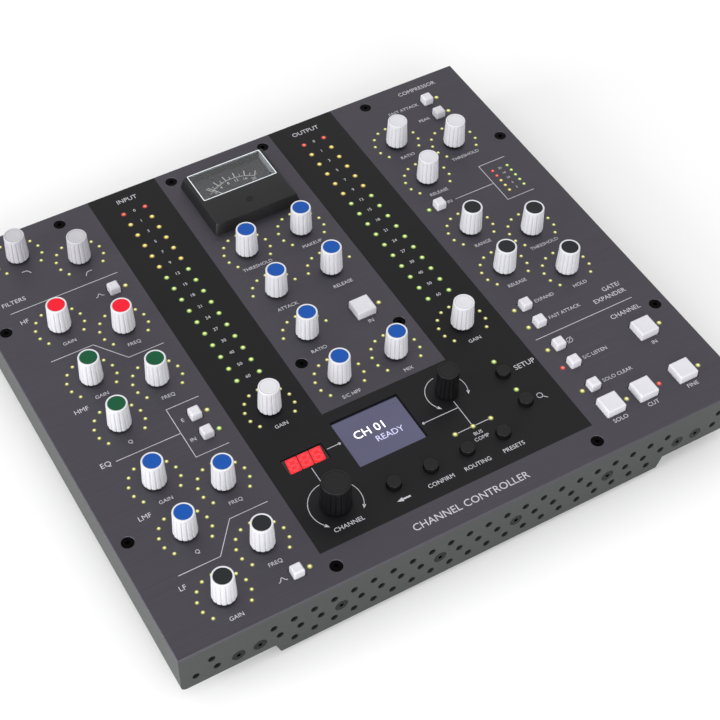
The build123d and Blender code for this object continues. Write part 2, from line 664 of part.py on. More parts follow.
def make_screws():
    plate_screw = make_screw(SCREW_LENGTH, SCREW_HEAD_H)
    wall_screw = make_screw(WALL_SCREW_LENGTH, TRAY_T)
    made = [Pos(x, y, Z_TOP - SCREW_GAP) * plate_screw for x, y in plate_screw_points()]
    z = Z_TOP - WALL_SCREW_DROP
    for x, side in wall_screw_places():
        made.append(Pos(x, side * PLATE_D / 2, z) * Rot(-90 * side, 0, 0) * wall_screw)
    return made


def make_feet():
    x = DEEP_HALF_W - FOOT_INSET_X
    y = PLATE_D / 2 - FOOT_INSET_Y
    return [upright(FOOT_R, 0, FOOT_H, sx * x, sy * y) for sx in (-1, 1) for sy in (-1, 1)]


def main():
    os.makedirs("parts", exist_ok=True)
    save("top_plate", make_plate())
    save("base_tray", make_tray())
    save("control_board", *make_board())
    save("meter_case", *make_meter_case())
    save("meter_needle", *make_needle())
    save("fixings", *make_screws(), *make_pillars(), *make_wall_blocks())
    save("rubber_feet", *make_feet())
    for name, x, y, _ in RING_KNOBS:
        save(name, *make_knob(x, y, KNOB_BASE_R, KNOB_HEAD_R, KNOB_CAP_R, KNOB_TOP))
    save("channel_jog_knob", *make_knob(-STRIP_X, JOG_Y, JOG_BASE_R, JOG_HEAD_R, JOG_CAP_R, JOG_TOP))
    save("select_knob", *make_knob(SELECT_X, SELECT_Y, PUSH_BASE_R, PUSH_HEAD_R, PUSH_CAP_R, PUSH_TOP))
    for name, x, y, _ in SMALL_KEYS:
        save(name, *make_square_key(x, y, KEY_SIDE, KEY_BEVEL))
    for name, x, y in LARGE_KEYS:
        save(name, *make_square_key(x, y, PAD_SIDE, PAD_BEVEL))
    for name, x, y, _ in ROUND_KEYS:
        save(name, *make_round_key(x, y))


main()
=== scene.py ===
import logging
import math
from dataclasses import dataclass, field
from enum import Enum

import bpy
import numpy as np
from mathutils import Matrix, Vector


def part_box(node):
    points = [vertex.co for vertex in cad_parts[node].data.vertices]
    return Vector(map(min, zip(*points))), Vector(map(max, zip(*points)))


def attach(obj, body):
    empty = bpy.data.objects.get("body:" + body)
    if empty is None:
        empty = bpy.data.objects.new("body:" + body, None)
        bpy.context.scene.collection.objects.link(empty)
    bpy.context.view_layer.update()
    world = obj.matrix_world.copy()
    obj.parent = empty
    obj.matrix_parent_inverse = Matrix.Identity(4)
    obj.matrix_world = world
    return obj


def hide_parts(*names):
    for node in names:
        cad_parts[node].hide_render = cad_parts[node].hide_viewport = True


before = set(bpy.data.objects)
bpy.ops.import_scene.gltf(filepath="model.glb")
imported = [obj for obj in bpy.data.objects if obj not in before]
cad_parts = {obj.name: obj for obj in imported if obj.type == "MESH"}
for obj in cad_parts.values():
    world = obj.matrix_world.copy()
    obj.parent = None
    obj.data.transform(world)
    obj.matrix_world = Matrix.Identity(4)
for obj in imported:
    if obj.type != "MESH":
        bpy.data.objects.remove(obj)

LOG = logging.getLogger("controller")
MM = 0.001
CHASSIS = "chassis"
MIX_A, MIX_B, MIX_OUT = 6, 7, 2  # a Mix node's two colours and its mixed colour
KNOB_CREASE, KEY_CREASE = 50.0, 24.0  # edges sharper than this many degrees stay crisp
CAPITAL_SHARE = 0.73  # capital height as a share of the font's size
WELD_DIGITS = 4  # letter points closer than this many decimals of a millimetre are one

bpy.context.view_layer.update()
PLATE_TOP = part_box("top_plate")[1].z / MM


# ---------------------------------------------------------------- shapes


@dataclass
class Shell:
    """Closed surfaces as plain arrays, in millimetres.

    points has one row for each vertex, and faces is a list of index arrays with three or four columns.
    level holds one number for each vertex, which a finish can read to tell a shape's core from its rim.
    """

    points: np.ndarray
    faces: list[np.ndarray]
    level: np.ndarray | None = None

    def moved(self, x: float = 0.0, y: float = 0.0, z: float = 0.0) -> "Shell":
        """The same shape, shifted."""
        return Shell(self.points + np.array([x, y, z]), self.faces, self.level)

    def turned(self, degrees: float) -> "Shell":
        """The same shape, turned about the upright axis through the origin."""
        a = math.radians(degrees)
        turn = np.array([[math.cos(a), math.sin(a), 0], [-math.sin(a), math.cos(a), 0], [0, 0, 1]])
        return Shell(self.points @ turn, self.faces, self.level)

    def copies(self, places: np.ndarray) -> "Shell":
        """One copy of the shape at each place.

        Args:
            places: one row (x, y, z) for each copy.

        Returns:
            A shell in which copy k is the shape plus places[k].
        """
        count, size = len(places), len(self.points)
        points = (self.points[None] + places[:, None]).reshape(-1, 3)
        steps = (np.arange(count) * size)[:, None, None]
        faces = [(f[None] + steps).reshape(-1, f.shape[1]) for f in self.faces]
        level = None if self.level is None else np.tile(self.level, count)
        return Shell(points, faces, level)


def join(shells: list[Shell]) -> Shell:
    """Puts several shells into one, each keeping its own faces."""
    starts = np.cumsum([0] + [len(s.points) for s in shells[:-1]])
    faces = [f + start for s, start in zip(shells, starts) for f in s.faces]
    levels = [np.zeros(len(s.points)) if s.level is None else s.level for s in shells]
    return Shell(np.concatenate([s.points for s in shells]), faces, np.concatenate(levels))


def lofted(outlines: np.ndarray, looped: bool = False) -> Shell:
    """Skins a stack of closed outlines.

    Row i, column j of the grid is point j of outline i. Each cell of the grid is a quad, and the
    last column joins the first. The last outline joins the first one where the skin is a loop, and
    otherwise both end outlines are closed by a fan about their mean point.

    Args:
        outlines: an array of (outlines, points, 3), each counter-clockwise seen from the far end.
        looped: whether the stack closes on itself, as a ring does.

    Returns:
        The skin.
    """
    rows, columns = outlines.shape[:2]
    spans = rows if looped else rows - 1
    r, c = np.meshgrid(np.arange(spans), np.arange(columns), indexing="ij")
    after = (c + 1) % columns
    near, far = r * columns, (r + 1) % rows * columns
    quads = np.stack([near + c, near + after, far + after, far + c], -1).reshape(-1, 4)
    points = outlines.reshape(-1, 3)
    if looped:
        return Shell(points, [quads])
    j = np.arange(columns)
    first = np.full(columns, len(points))
    last = (rows - 1) * columns
    low_fan = np.stack([first, (j + 1) % columns, j], -1)
    high_fan = np.stack([first + 1, last + j, last + (j + 1) % columns], -1)
    ends = np.stack([outlines[0].mean(0), outlines[-1].mean(0)])
    return Shell(np.concatenate([points, ends]), [quads, low_fan, high_fan])


def circle(radius: float, count: int) -> np.ndarray:
    """Points (radius cos a, radius sin a) at count equal angles."""
    a = np.arange(count) * 2 * math.pi / count
    return radius * np.stack([np.cos(a), np.sin(a)], -1)


def rounded_rectangle(half_x: float, half_y: float, radius: float, per_corner: int = 6) -> np.ndarray:
    """A rectangle whose corners are quarter circles.

    Point k of a corner is that corner's centre plus radius times (cos a, sin a), where a runs over
    the corner's quarter turn.
    """
    quarter = np.linspace(0, math.pi / 2, per_corner)
    a = (np.arange(4)[:, None] * math.pi / 2 + quarter).reshape(-1)
    signs = np.array([[1, 1], [-1, 1], [-1, -1], [1, -1]]).repeat(per_corner, 0)
    centres = signs * np.array([half_x - radius, half_y - radius])
    return centres + radius * np.stack([np.cos(a), np.sin(a)], -1)


def stacked(outlines: list[tuple[np.ndarray, float]]) -> np.ndarray:
    """Gives each flat outline its height: rows of (outline, height) become one grid of points."""
    return np.stack([np.column_stack([flat, np.full(len(flat), z)]) for flat, z in outlines])


def turned_profile(profile: list[tuple[float, float]], count: int) -> Shell:
    """A profile of (radius, height) turned about the upright axis in count steps."""
    return lofted(stacked([(circle(max(r, 0.01), count), z) for r, z in profile]))


def prism(outline: np.ndarray, low: float, high: float) -> Shell:
    """An upright prism on a flat outline."""
    return lofted(stacked([(outline, low), (outline, high)]))


def fillet_points(r_out: float, z_top: float, radius: float, steps: int = 5) -> list[tuple[float, float]]:
    """A quarter circle from the side (r_out, z_top - radius) over to the top (r_out - radius, z_top)."""
    a = np.linspace(0, math.pi / 2, steps)
    r = r_out - radius * (1 - np.cos(a))
    z = z_top - radius * (1 - np.sin(a))
    return list(zip(r.tolist(), z.tolist()))


def ribbon(path: np.ndarray, width: float, low: float, high: float) -> Shell:
    """A flat band of one width along a path of (x, y) points.

    Each point moves sideways by half the width along the mean normal of the two runs that meet
    there, divided by the cosine of half the turn, so that the width holds round the corners.
    """
    runs = np.diff(path, axis=0)
    runs /= np.linalg.norm(runs, axis=1, keepdims=True)
    normals = np.stack([-runs[:, 1], runs[:, 0]], -1)
    before = np.concatenate([normals[:1], normals])
    after = np.concatenate([normals, normals[-1:]])
    mean = before + after
    mean /= np.linalg.norm(mean, axis=1, keepdims=True)
    reach = width / 2 / np.sum(mean * after, axis=1, keepdims=True)
    left, right = path + mean * reach, path - mean * reach
    corners = np.stack([right, left, left, right], 1)
    heights = np.broadcast_to(np.array([low, low, high, high])[:, None], (len(path), 4, 1))
    return lofted(np.concatenate([corners, heights], -1))


# ---------------------------------------------------------------- finishes


def linear(hex_colour: str) -> tuple[float, float, float, float]:
    """Turns an sRGB hex value into linear light: below 0.04045 divide by 12.92, else a 2.4 power."""
    srgb = np.array([int(hex_colour[i : i + 2], 16) / 255 for i in (1, 3, 5)])
    light = np.where(srgb <= 0.04045, srgb / 12.92, ((srgb + 0.055) / 1.055) ** 2.4)
    return (*light.tolist(), 1.0)


def add_node(tree: bpy.types.NodeTree, kind: str, links: dict | None = None, **settings) -> bpy.types.Node:
    """Adds one node.

    Args:
        tree: the material's node tree.
        kind: the node's type.
        links: input name or number to a value, or to the output socket that feeds it.
        settings: properties of the node itself.

    Returns:
        The new node.
    """
    node = tree.nodes.new(kind)
    for name, value in settings.items():
        setattr(node, name, value)
    for name, value in (links or {}).items():
        if isinstance(value, bpy.types.NodeSocket):
            tree.links.new(value, node.inputs[name])
        else:
            node.inputs[name].default_value = value
    return node


def new_material(name: str) -> tuple[bpy.types.Material, bpy.types.NodeTree]:
    """An empty node material."""
    material = bpy.data.materials.new(name)
    material.use_nodes = True
    material.node_tree.nodes.clear()
    return material, material.node_tree


def place_in_mm(tree: bpy.types.NodeTree, scale: tuple[float, float, float]) -> bpy.types.NodeSocket:
    """Object coordinates times a scale given in repeats for each millimetre."""
    where = add_node(tree, "ShaderNodeTexCoord")
    stretch = tuple(s / MM for s in scale)
    mapping = add_node(tree, "ShaderNodeMapping", {"Vector": where.outputs["Object"], "Scale": stretch})
    return mapping.outputs["Vector"]


def shaded(tree: bpy.types.NodeTree, links: dict) -> bpy.types.Node:
    """A Principled surface joined to the material's output."""
    surface = add_node(tree, "ShaderNodeBsdfPrincipled", links)
    add_node(tree, "ShaderNodeOutputMaterial", {"Surface": surface.outputs["BSDF"]})
    return surface


def between(
    tree: bpy.types.NodeTree, value: bpy.types.NodeSocket, low: float, high: float
) -> bpy.types.NodeSocket:
    """1 where a value lies between two limits, else 0."""
    above = add_node(tree, "ShaderNodeMath", {0: value, 1: low}, operation="GREATER_THAN")
    below = add_node(tree, "ShaderNodeMath", {0: value, 1: high}, operation="LESS_THAN")
    both = add_node(
        tree, "ShaderNodeMath", {0: above.outputs[0], 1: below.outputs[0]}, operation="MULTIPLY"
    )
    return both.outputs[0]


@dataclass(frozen=True)
class BrushedAnodisedPlate:
    """Aluminium, brushed from left to right, anodised charcoal, then screen-printed black in the middle.

    It gives the eye fine sideways streaks with a soft wide glint, and a flat black field that
    takes less of that glint.
    """

    metal: str = "#58565D"
    streak_dark: str = "#4A484E"
    ink: str = "#121214"
    streak_mm: float = 0.45  # real brush marks are finer than the eye sees from here
    streak_length_mm: float = 40.0
    field_half_x: float = 71.8
    field_front: float = -114.7
    inner_half_x: float = 33.7
    inner_front: float = -48.2

    def build(self) -> bpy.types.Material:
        """Streaked metal, mixed with ink inside the printed field."""
        material, tree = new_material("brushed_anodised_aluminium")
        marks = place_in_mm(tree, (1 / self.streak_length_mm, 1 / self.streak_mm, 1 / self.streak_mm))
        streaks = add_node(tree, "ShaderNodeTexNoise", {"Vector": marks, "Scale": 1.0, "Detail": 3.0})
        metal = add_node(
            tree,
            "ShaderNodeMix",
            {0: streaks.outputs["Fac"], MIX_A: linear(self.streak_dark), MIX_B: linear(self.metal)},
            data_type="RGBA",
        )
        ink_mask = self.ink_mask(tree)
        colour = add_node(
            tree,
            "ShaderNodeMix",
            {0: ink_mask, MIX_A: metal.outputs[MIX_OUT], MIX_B: linear(self.ink)},
            data_type="RGBA",
        )
        bare = add_node(tree, "ShaderNodeMath", {0: 1.0, 1: ink_mask}, operation="SUBTRACT")
        metallic = add_node(
            tree, "ShaderNodeMath", {0: bare.outputs[0], 1: 0.85}, operation="MULTIPLY"
        )
        rough = add_node(
            tree,
            "ShaderNodeMapRange",
            {"Value": streaks.outputs["Fac"], "To Min": 0.4, "To Max": 0.55},
        )
        bump = add_node(
            tree,
            "ShaderNodeBump",
            {"Height": streaks.outputs["Fac"], "Strength": 0.12, "Distance": 0.02 * MM},
        )
        shaded(
            tree,
            {
                "Base Color": colour.outputs[MIX_OUT],
                "Metallic": metallic.outputs[0],
                "Roughness": rough.outputs[0],
                "Specular IOR Level": 0.2,
                "Anisotropic": 0.5,
                "Normal": bump.outputs["Normal"],
            },
        )
        return material

    def ink_mask(self, tree: bpy.types.NodeTree) -> bpy.types.NodeSocket:
        """1 inside the printed field and 0 on bare metal: the wide field less the inner panel."""
        where = add_node(tree, "ShaderNodeTexCoord")
        axes = add_node(tree, "ShaderNodeSeparateXYZ", {"Vector": where.outputs["Object"]})
        x, y = axes.outputs["X"], axes.outputs["Y"]
        far = 1.0  # metres, beyond any edge of the plate
        wide_x = between(tree, x, -self.field_half_x * MM, self.field_half_x * MM)
        wide_y = between(tree, y, self.field_front * MM, far)
        inner_x = between(tree, x, -self.inner_half_x * MM, self.inner_half_x * MM)
        inner_y = between(tree, y, self.inner_front * MM, far)
        wide = add_node(tree, "ShaderNodeMath", {0: wide_x, 1: wide_y}, operation="MULTIPLY")
        inner = add_node(tree, "ShaderNodeMath", {0: inner_x, 1: inner_y}, operation="MULTIPLY")
        left = add_node(
            tree, "ShaderNodeMath", {0: wide.outputs[0], 1: inner.outputs[0]}, operation="SUBTRACT"
        )
        return left.outputs[0]


@dataclass(frozen=True)
class Moulding:
    """A moulded plastic or rubber: one colour, a fine spark-eroded grain and a slight mottle.

    It gives the eye a soft highlight with no mirror in it.
    """

    name: str
    colour: str
    roughness: float = 0.42
    grain_mm: float = 0.35
    grain_depth_mm: float = 0.006
    mottle: float = 0.05
    shine: float = 0.5

    def build(self) -> bpy.types.Material:
        """Grain as bump and as a small change in roughness, mottle as a small change in colour."""
        material, tree = new_material(self.name)
        place = place_in_mm(tree, (1 / self.grain_mm,) * 3)
        grain = add_node(tree, "ShaderNodeTexNoise", {"Vector": place, "Scale": 1.0, "Detail": 2.0})
        cloud = add_node(tree, "ShaderNodeTexNoise", {"Vector": place, "Scale": 0.06, "Detail": 2.0})
        base = np.array(linear(self.colour))
        dark = base * (1 - self.mottle)
        colour = add_node(
            tree,
            "ShaderNodeMix",
            {0: cloud.outputs["Fac"], MIX_A: (*dark[:3].tolist(), 1.0), MIX_B: tuple(base.tolist())},
            data_type="RGBA",
        )
        rough = add_node(
            tree,
            "ShaderNodeMapRange",
            {
                "Value": grain.outputs["Fac"],
                "To Min": self.roughness - 0.05,
                "To Max": self.roughness + 0.05,
            },
        )
        bump = add_node(
            tree,
            "ShaderNodeBump",
            {"Height": grain.outputs["Fac"], "Strength": 0.5, "Distance": self.grain_depth_mm * MM},
        )
        shaded(
            tree,
            {
                "Base Color": colour.outputs[MIX_OUT],
                "Roughness": rough.outputs[0],
                "IOR": 1.49,
                "Specular IOR Level": self.shine,
                "Normal": bump.outputs["Normal"],
            },
        )
        return material


@dataclass(frozen=True)
class PowderCoat:
    """Steel under a fine-textured dark powder coat.

    It gives the eye an even pebbled grain and a broad dull sheen.
    """

    colour: str = "#3B3D3D"
    pebble_mm: float = 0.5
    pebble_depth_mm: float = 0.02

    def build(self) -> bpy.types.Material:
        """Rounded cells as bump, with painted shade making the hollows between them a little darker."""
        material, tree = new_material("powder_coated_steel")
        place = place_in_mm(tree, (1 / self.pebble_mm,) * 3)
        cells = add_node(tree, "ShaderNodeTexVoronoi", {"Vector": place, "Scale": 1.0}, feature="SMOOTH_F1")
        base = np.array(linear(self.colour))
        # painted shade: the colour towards each cell's edge, where the hollows lie, is darkened
        painted_hollow_shade = base * 0.8
        colour = add_node(
            tree,
            "ShaderNodeMix",
            {
                0: cells.outputs["Distance"],
                MIX_A: tuple(base.tolist()),
                MIX_B: (*painted_hollow_shade[:3].tolist(), 1.0),
            },
            data_type="RGBA",
        )
        bump = add_node(
            tree,
            "ShaderNodeBump",
            {
                "Height": cells.outputs["Distance"],
                "Strength": 0.35,
                "Distance": self.pebble_depth_mm * MM,
            },
        )
        shaded(
            tree,
            {
                "Base Color": colour.outputs[MIX_OUT],
                "Metallic": 0.35,
                "Roughness": 0.48,
                "Normal": bump.outputs["Normal"],
            },
        )
        return material


@dataclass(frozen=True)
class BlackOxideSteel:
    """Turned steel screws, blackened in hot oxide. It gives the eye a dark oily glint on each edge."""

    colour: str = "#0D0D0F"
    turning_mm: float = 0.25

    def build(self) -> bpy.types.Material:
        """Turning marks as a small change in roughness."""
        material, tree = new_material("black_oxide_steel")
        place = place_in_mm(tree, (1 / self.turning_mm,) * 3)
        marks = add_node(tree, "ShaderNodeTexNoise", {"Vector": place, "Scale": 1.0, "Detail": 2.0})
        rough = add_node(
            tree, "ShaderNodeMapRange", {"Value": marks.outputs["Fac"], "To Min": 0.22, "To Max": 0.42}
        )
        shaded(tree, {"Base Color": linear(self.colour), "Metallic": 1.0, "Roughness": rough.outputs[0]})
        return material


@dataclass(frozen=True)
class ScreenPrint:
    """White screen-printed epoxy ink. It gives the eye a matt film with slightly uneven cover."""

    name: str = "white_screen_print"
    colour: str = "#C9C8CD"
    thin: str = "#A4A3A9"
    patch_mm: float = 0.6

    def build(self) -> bpy.types.Material:
        """Two whites mixed by a noise at the size of the mesh that prints them."""
        material, tree = new_material(self.name)
        place = place_in_mm(tree, (1 / self.patch_mm,) * 3)
        cover = add_node(tree, "ShaderNodeTexNoise", {"Vector": place, "Scale": 1.0, "Detail": 2.0})
        colour = add_node(
            tree,
            "ShaderNodeMix",
            {0: cover.outputs["Fac"], MIX_A: linear(self.thin), MIX_B: linear(self.colour)},
            data_type="RGBA",
        )
        shaded(tree, {"Base Color": colour.outputs[MIX_OUT], "Roughness": 0.6})
        return material


@dataclass(frozen=True)
class Lamp:
    """The end of a clear acrylic light pipe with a lit diode under it.

    It gives the eye a pale hot core that deepens to the diode's own colour at the rim.
    """

    name: str
    core: str
    rim: str
    strength: float = 1.6

    def build(self) -> bpy.types.Material:
        """Emission mixed from core to rim by the shape's level, under a clear glossy skin."""
        material, tree = new_material(self.name)
        level = add_node(tree, "ShaderNodeAttribute", attribute_name="level")
        colour = add_node(
            tree,
            "ShaderNodeMix",
            {0: level.outputs["Fac"], MIX_A: linear(self.core), MIX_B: linear(self.rim)},
            data_type="RGBA",
        )
        shaded(
            tree,
            {
                "Base Color": linear(self.rim),
                "Roughness": 0.2,
                "IOR": 1.49,
                "Emission Color": colour.outputs[MIX_OUT],
                "Emission Strength": self.strength,
            },
        )
        return material


@dataclass(frozen=True)
class LitScreen:
    """A backlit liquid-crystal screen. It gives the eye an even violet-grey glow behind gloss."""

    name: str = "backlit_screen"
    centre: str = "#6F6E92"
    edge: str = "#58577A"
    row_mm: float = 0.5
    strength: float = 0.55

    def build(self) -> bpy.types.Material:
        """Faint rows of dots over a slow change in brightness."""
        material, tree = new_material(self.name)
        place = place_in_mm(tree, (0.02, 1 / self.row_mm, 0.02))
        rows = add_node(tree, "ShaderNodeTexWave", {"Vector": place, "Scale": 0.3}, bands_direction="Y")
        glow_place = place_in_mm(tree, (0.03, 0.03, 0.03))
        glow = add_node(tree, "ShaderNodeTexNoise", {"Vector": glow_place, "Scale": 1.0, "Detail": 0.0})
        blend = add_node(
            tree,
            "ShaderNodeMath",
            {0: rows.outputs["Fac"], 1: 0.15, 2: glow.outputs["Fac"]},
            operation="MULTIPLY_ADD",
        )
        colour = add_node(
            tree,
            "ShaderNodeMix",
            {0: blend.outputs[0], MIX_A: linear(self.edge), MIX_B: linear(self.centre)},
            data_type="RGBA",
        )
        shaded(
            tree,
            {
                "Base Color": linear("#20202A"),
                "Roughness": 0.12,
                "Emission Color": colour.outputs[MIX_OUT],
                "Emission Strength": self.strength,
            },
        )
        return material


@dataclass(frozen=True)
class ClearAcrylic:
    """Polished clear acrylic. It gives the eye bright edges and a reflection over what lies below."""

    name: str = "clear_acrylic"
    scuff_mm: float = 6.0

    def build(self) -> bpy.types.Material:
        """Full transmission, with a trace of wiping marks in the roughness."""
        material, tree = new_material(self.name)
        place = place_in_mm(tree, (1 / self.scuff_mm,) * 3)
        scuffs = add_node(tree, "ShaderNodeTexNoise", {"Vector": place, "Scale": 1.0, "Detail": 3.0})
        rough = add_node(
            tree, "ShaderNodeMapRange", {"Value": scuffs.outputs["Fac"], "To Min": 0.01, "To Max": 0.05}
        )
        shaded(
            tree,
            {
                "Base Color": linear("#F4F7F8"),
                "Roughness": rough.outputs[0],
                "IOR": 1.49,
                "Transmission Weight": 1.0,
            },
        )
        return material


class Ink(Enum):
    """What a printed or lit mark is made of."""

    WHITE = ScreenPrint()
    DIAL = ScreenPrint("dial_print", "#FFFBF7", "#EFE9E4")


class Glow(Enum):
    """The lit diodes' colours."""

    YELLOW = Lamp("lamp_yellow", "#F6F2A8", "#3C3F06", 1.15)
    AMBER = Lamp("lamp_amber", "#F9EA90", "#4F4206", 1.2)
    GREEN = Lamp("lamp_green", "#E6F5A0", "#2C4A06", 1.2)
    RED = Lamp("lamp_red", "#FF7A66", "#5E0A08", 1.15)
    DIGIT = Lamp("digit_red", "#FF2A33", "#FF1A22", 1.5)
    SCREEN_BRIGHT = Lamp("screen_white", "#F4F4FA", "#F4F4FA", 1.0)
    SCREEN_DIM = Lamp("screen_dim", "#A9A8C6", "#A9A8C6", 0.8)
    DIGIT_BACK = Lamp("digit_filter_red", "#E8101C", "#B8060F", 1.0)


class Plastic(Enum):
    """The moulded plastics and rubbers."""

    WHITE = Moulding("white_abs", "#D0D0D5", 0.4)
    GREY = Moulding("light_grey_abs", "#B6B5BA", 0.4)
    RED = Moulding("red_abs", "#E3122A", 0.5, shine=0.2)
    GREEN = Moulding("green_abs", "#075030", 0.5, shine=0.2)
    BLUE = Moulding("blue_abs", "#0C4CA0", 0.5, shine=0.2)
    CHARCOAL = Moulding("charcoal_abs", "#1A1C1E", 0.45, shine=0.25)
    BLACK = Moulding("black_abs", "#0C0C0E", 0.42, shine=0.3)
    KEY = Moulding("key_white_abs", "#D2D1D7", 0.4)
    CASE = Moulding("meter_case_phenolic", "#18181A", 0.38, grain_depth_mm=0.003, shine=0.35)
    WELL = Moulding("pale_polystyrene", "#E9EEF3", 0.2, grain_depth_mm=0.002)
    BOARD = Moulding("solder_mask", "#12281B", 0.3)
    DIGITS = Moulding("smoked_filter", "#2A0708", 0.15)
    CARD = Moulding("dial_card", "#3A373E", 0.6)
    FOOT = Moulding("black_rubber", "#161616", 0.8, grain_depth_mm=0.02)


class Workshop:
    """Builds each material once and hands it out by name."""

    def __init__(self) -> None:
        """Starts with no material made."""
        self._made: dict[str, bpy.types.Material] = {}

    def finish(self, choice: object) -> bpy.types.Material:
        """The material of a finish, or of an Enum member that holds one."""
        finish = choice.value if isinstance(choice, Enum) else choice
        key = getattr(finish, "name", type(finish).__name__)
        if key not in self._made:
            self._made[key] = finish.build()
        return self._made[key]

    def piece(
        self, name: str, shell: Shell, choice: object, body: str, slot: str, smooth_angle: float = 32.0
    ) -> bpy.types.Object:
        """Makes one visible piece and lets it ride on a body.

        Args:
            name: the piece's name.
            shell: its surface, in millimetres in the shared frame.
            choice: its finish.
            body: the CAD body that it moves with.
            slot: the record's material slot that it belongs to; not used.
            smooth_angle: edges sharper than this many degrees stay crisp.

        Returns:
            The new object, at the origin, with its place in its mesh.
        """
        mesh = bpy.data.meshes.new(name)
        faces = [row for block in shell.faces for row in block.tolist()]
        mesh.from_pydata((shell.points * MM).tolist(), [], faces)
        mesh.validate()
        mesh.polygons.foreach_set("use_smooth", np.ones(len(mesh.polygons), bool))
        mesh.set_sharp_from_angle(angle=math.radians(smooth_angle))
        if shell.level is not None:
            level = mesh.attributes.new("level", "FLOAT", "POINT")
            level.data.foreach_set("value", shell.level.astype(np.float32))
        mesh.materials.append(self.finish(choice))
        piece = bpy.data.objects.new(name, mesh)
        bpy.context.scene.collection.objects.link(piece)
        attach(piece, body)
        LOG.info("%s: %d points, rides on %s", name, len(mesh.vertices), body)
        return piece

    def dress(self, node: str, choice: object) -> None:
        """Gives a CAD node its real finish."""
        node_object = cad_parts[node]
        node_object.data.materials.clear()
        node_object.data.materials.append(self.finish(choice))
        LOG.info("%s: finished as %s", node, self.finish(choice).name)


def centre_of(node: str) -> tuple[float, float]:
    """The (x, y) middle of a CAD node, in millimetres."""
    low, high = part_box(node)
    return (low.x + high.x) / 2 / MM, (low.y + high.y) / 2 / MM


# ---------------------------------------------------------------- knobs


class KnobColour(Enum):
    """Skirt, cap and record slot of each kind of knob."""

    RED = (Plastic.WHITE, Plastic.RED, "white_knob")
    GREEN = (Plastic.WHITE, Plastic.GREEN, "white_knob")
    BLUE = (Plastic.WHITE, Plastic.BLUE, "white_knob")
    CHARCOAL = (Plastic.WHITE, Plastic.CHARCOAL, "white_knob")
    WHITE = (Plastic.WHITE, Plastic.WHITE, "white_knob")
    GREY = (Plastic.GREY, Plastic.GREY, "grey_knob")
    BLACK = (Plastic.BLACK, Plastic.BLACK, "black_knob")


# the skirt's rows as shares of the way up, close together where the side bends
SKIRT_ROWS = np.concatenate([[0.0, 0.02, 0.05], np.linspace(0.1, 0.84, 9), [0.88, 0.92, 0.95]])


@dataclass
class FlutedKnob:
    """A tapered knob with fluted sides, a plain rim and a cap disc let into its top."""

    base_radius: float = 5.7
    head_radius: float = 5.05
    cap_radius: float = 4.25
    top: float = 15.7
    lift: float = 1.0
    flutes: int = 14
    flute_depth: float = 0.5
    per_flute: int = 10
    rim_fillet: float = 0.35
    recess: float = 0.25
    shaft_radius: float = 3.0
    shaft_reach: float = 4.0
    shaft_grip: float = 0.5  # how far the shaft goes up into the knob
    foot_round: tuple[float, float] = (0.35, 0.08)  # how far in the two lowest rows lie
    fade_end: float = 0.93
    fade_run: float = 0.12
    lead_in: tuple[float, float] = (0.12, 0.1)  # the recess's small chamfer, across and down
    cap_gap: float = 0.03
    cap_thickness: float = 0.6
    cap_drop: float = 0.08
    cap_round: float = 0.18
    cap_dish: tuple[tuple[float, float], ...] = ((0.7, 0.16), (0.35, 0.2), (0.0, 0.21))

    def skirt(self) -> Shell:
        """The knob's body.

        The radius falls in a straight line from the base to the head, with a small round at
        each end. At angle a the side lies inside that radius by the flute's depth times
        (1 - |sin(n a / 2)|) to the fourth power, where n is the number of flutes. The depth fades
        to nothing at the rim.
        """
        count = self.flutes * self.per_flute
        angle = np.arange(count) * 2 * math.pi / count
        groove = (1 - np.abs(np.sin(angle * self.flutes / 2))) ** 4
        share = SKIRT_ROWS
        radius = self.base_radius + (self.head_radius - self.base_radius) * share
        radius[:2] -= np.array(self.foot_round)
        height = self.lift + (self.top - self.rim_fillet - self.lift) * share / share[-1]
        fade = np.clip((self.fade_end - share) / self.fade_run, 0, 1)
        fade = fade * fade * (3 - 2 * fade)
        around = np.stack([np.cos(angle), np.sin(angle)], -1)
        reach = radius[:, None] - self.flute_depth * fade[:, None] * groove[None]
        side = np.concatenate(
            [reach[..., None] * around[None], np.broadcast_to(height[:, None, None], (*reach.shape, 1))], -1
        )
        floor = self.top - self.recess
        rim = fillet_points(radius[-1], self.top, self.rim_fillet)[1:]
        inner = [
            (self.cap_radius + self.lead_in[0], self.top),
            (self.cap_radius, self.top - self.lead_in[1]),
            (self.cap_radius, floor),
        ]
        top_rows = stacked([(r * around, z) for r, z in rim + inner])
        return lofted(np.concatenate([side, top_rows]))

    def cap(self) -> Shell:
        """The disc in the top: a shallow dish with a round edge, just below the rim."""
        r, low = self.cap_radius - self.cap_gap, self.top - self.recess - self.cap_thickness
        edge = fillet_points(r, self.top - self.cap_drop, self.cap_round, 4)
        dish = [(r * share, self.top - depth) for share, depth in self.cap_dish]
        return turned_profile([(r, low)] + edge + dish, 56)

    def shaft(self) -> Shell:
        """The encoder shaft under the knob."""
        r = self.shaft_radius
        return turned_profile([(r, -self.shaft_reach), (r, self.lift + self.shaft_grip)], 32)

    def build(self, shop: Workshop, node: str, colour: KnobColour) -> None:
        """Makes the knob where its CAD node is, in place of it."""
        x, y = centre_of(node)
        skirt_finish, cap_finish, slot = colour.value
        skirt = shop.piece(
            node + "_skirt", self.skirt().moved(x, y, PLATE_TOP), skirt_finish, node, slot, KNOB_CREASE
        )
        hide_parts(node)
        shop.piece(node + "_cap", self.cap().moved(x, y, PLATE_TOP), cap_finish, node, slot)
        shop.piece(
            node + "_shaft", self.shaft().moved(x, y, PLATE_TOP), BlackOxideSteel(), node, "screws"
        )


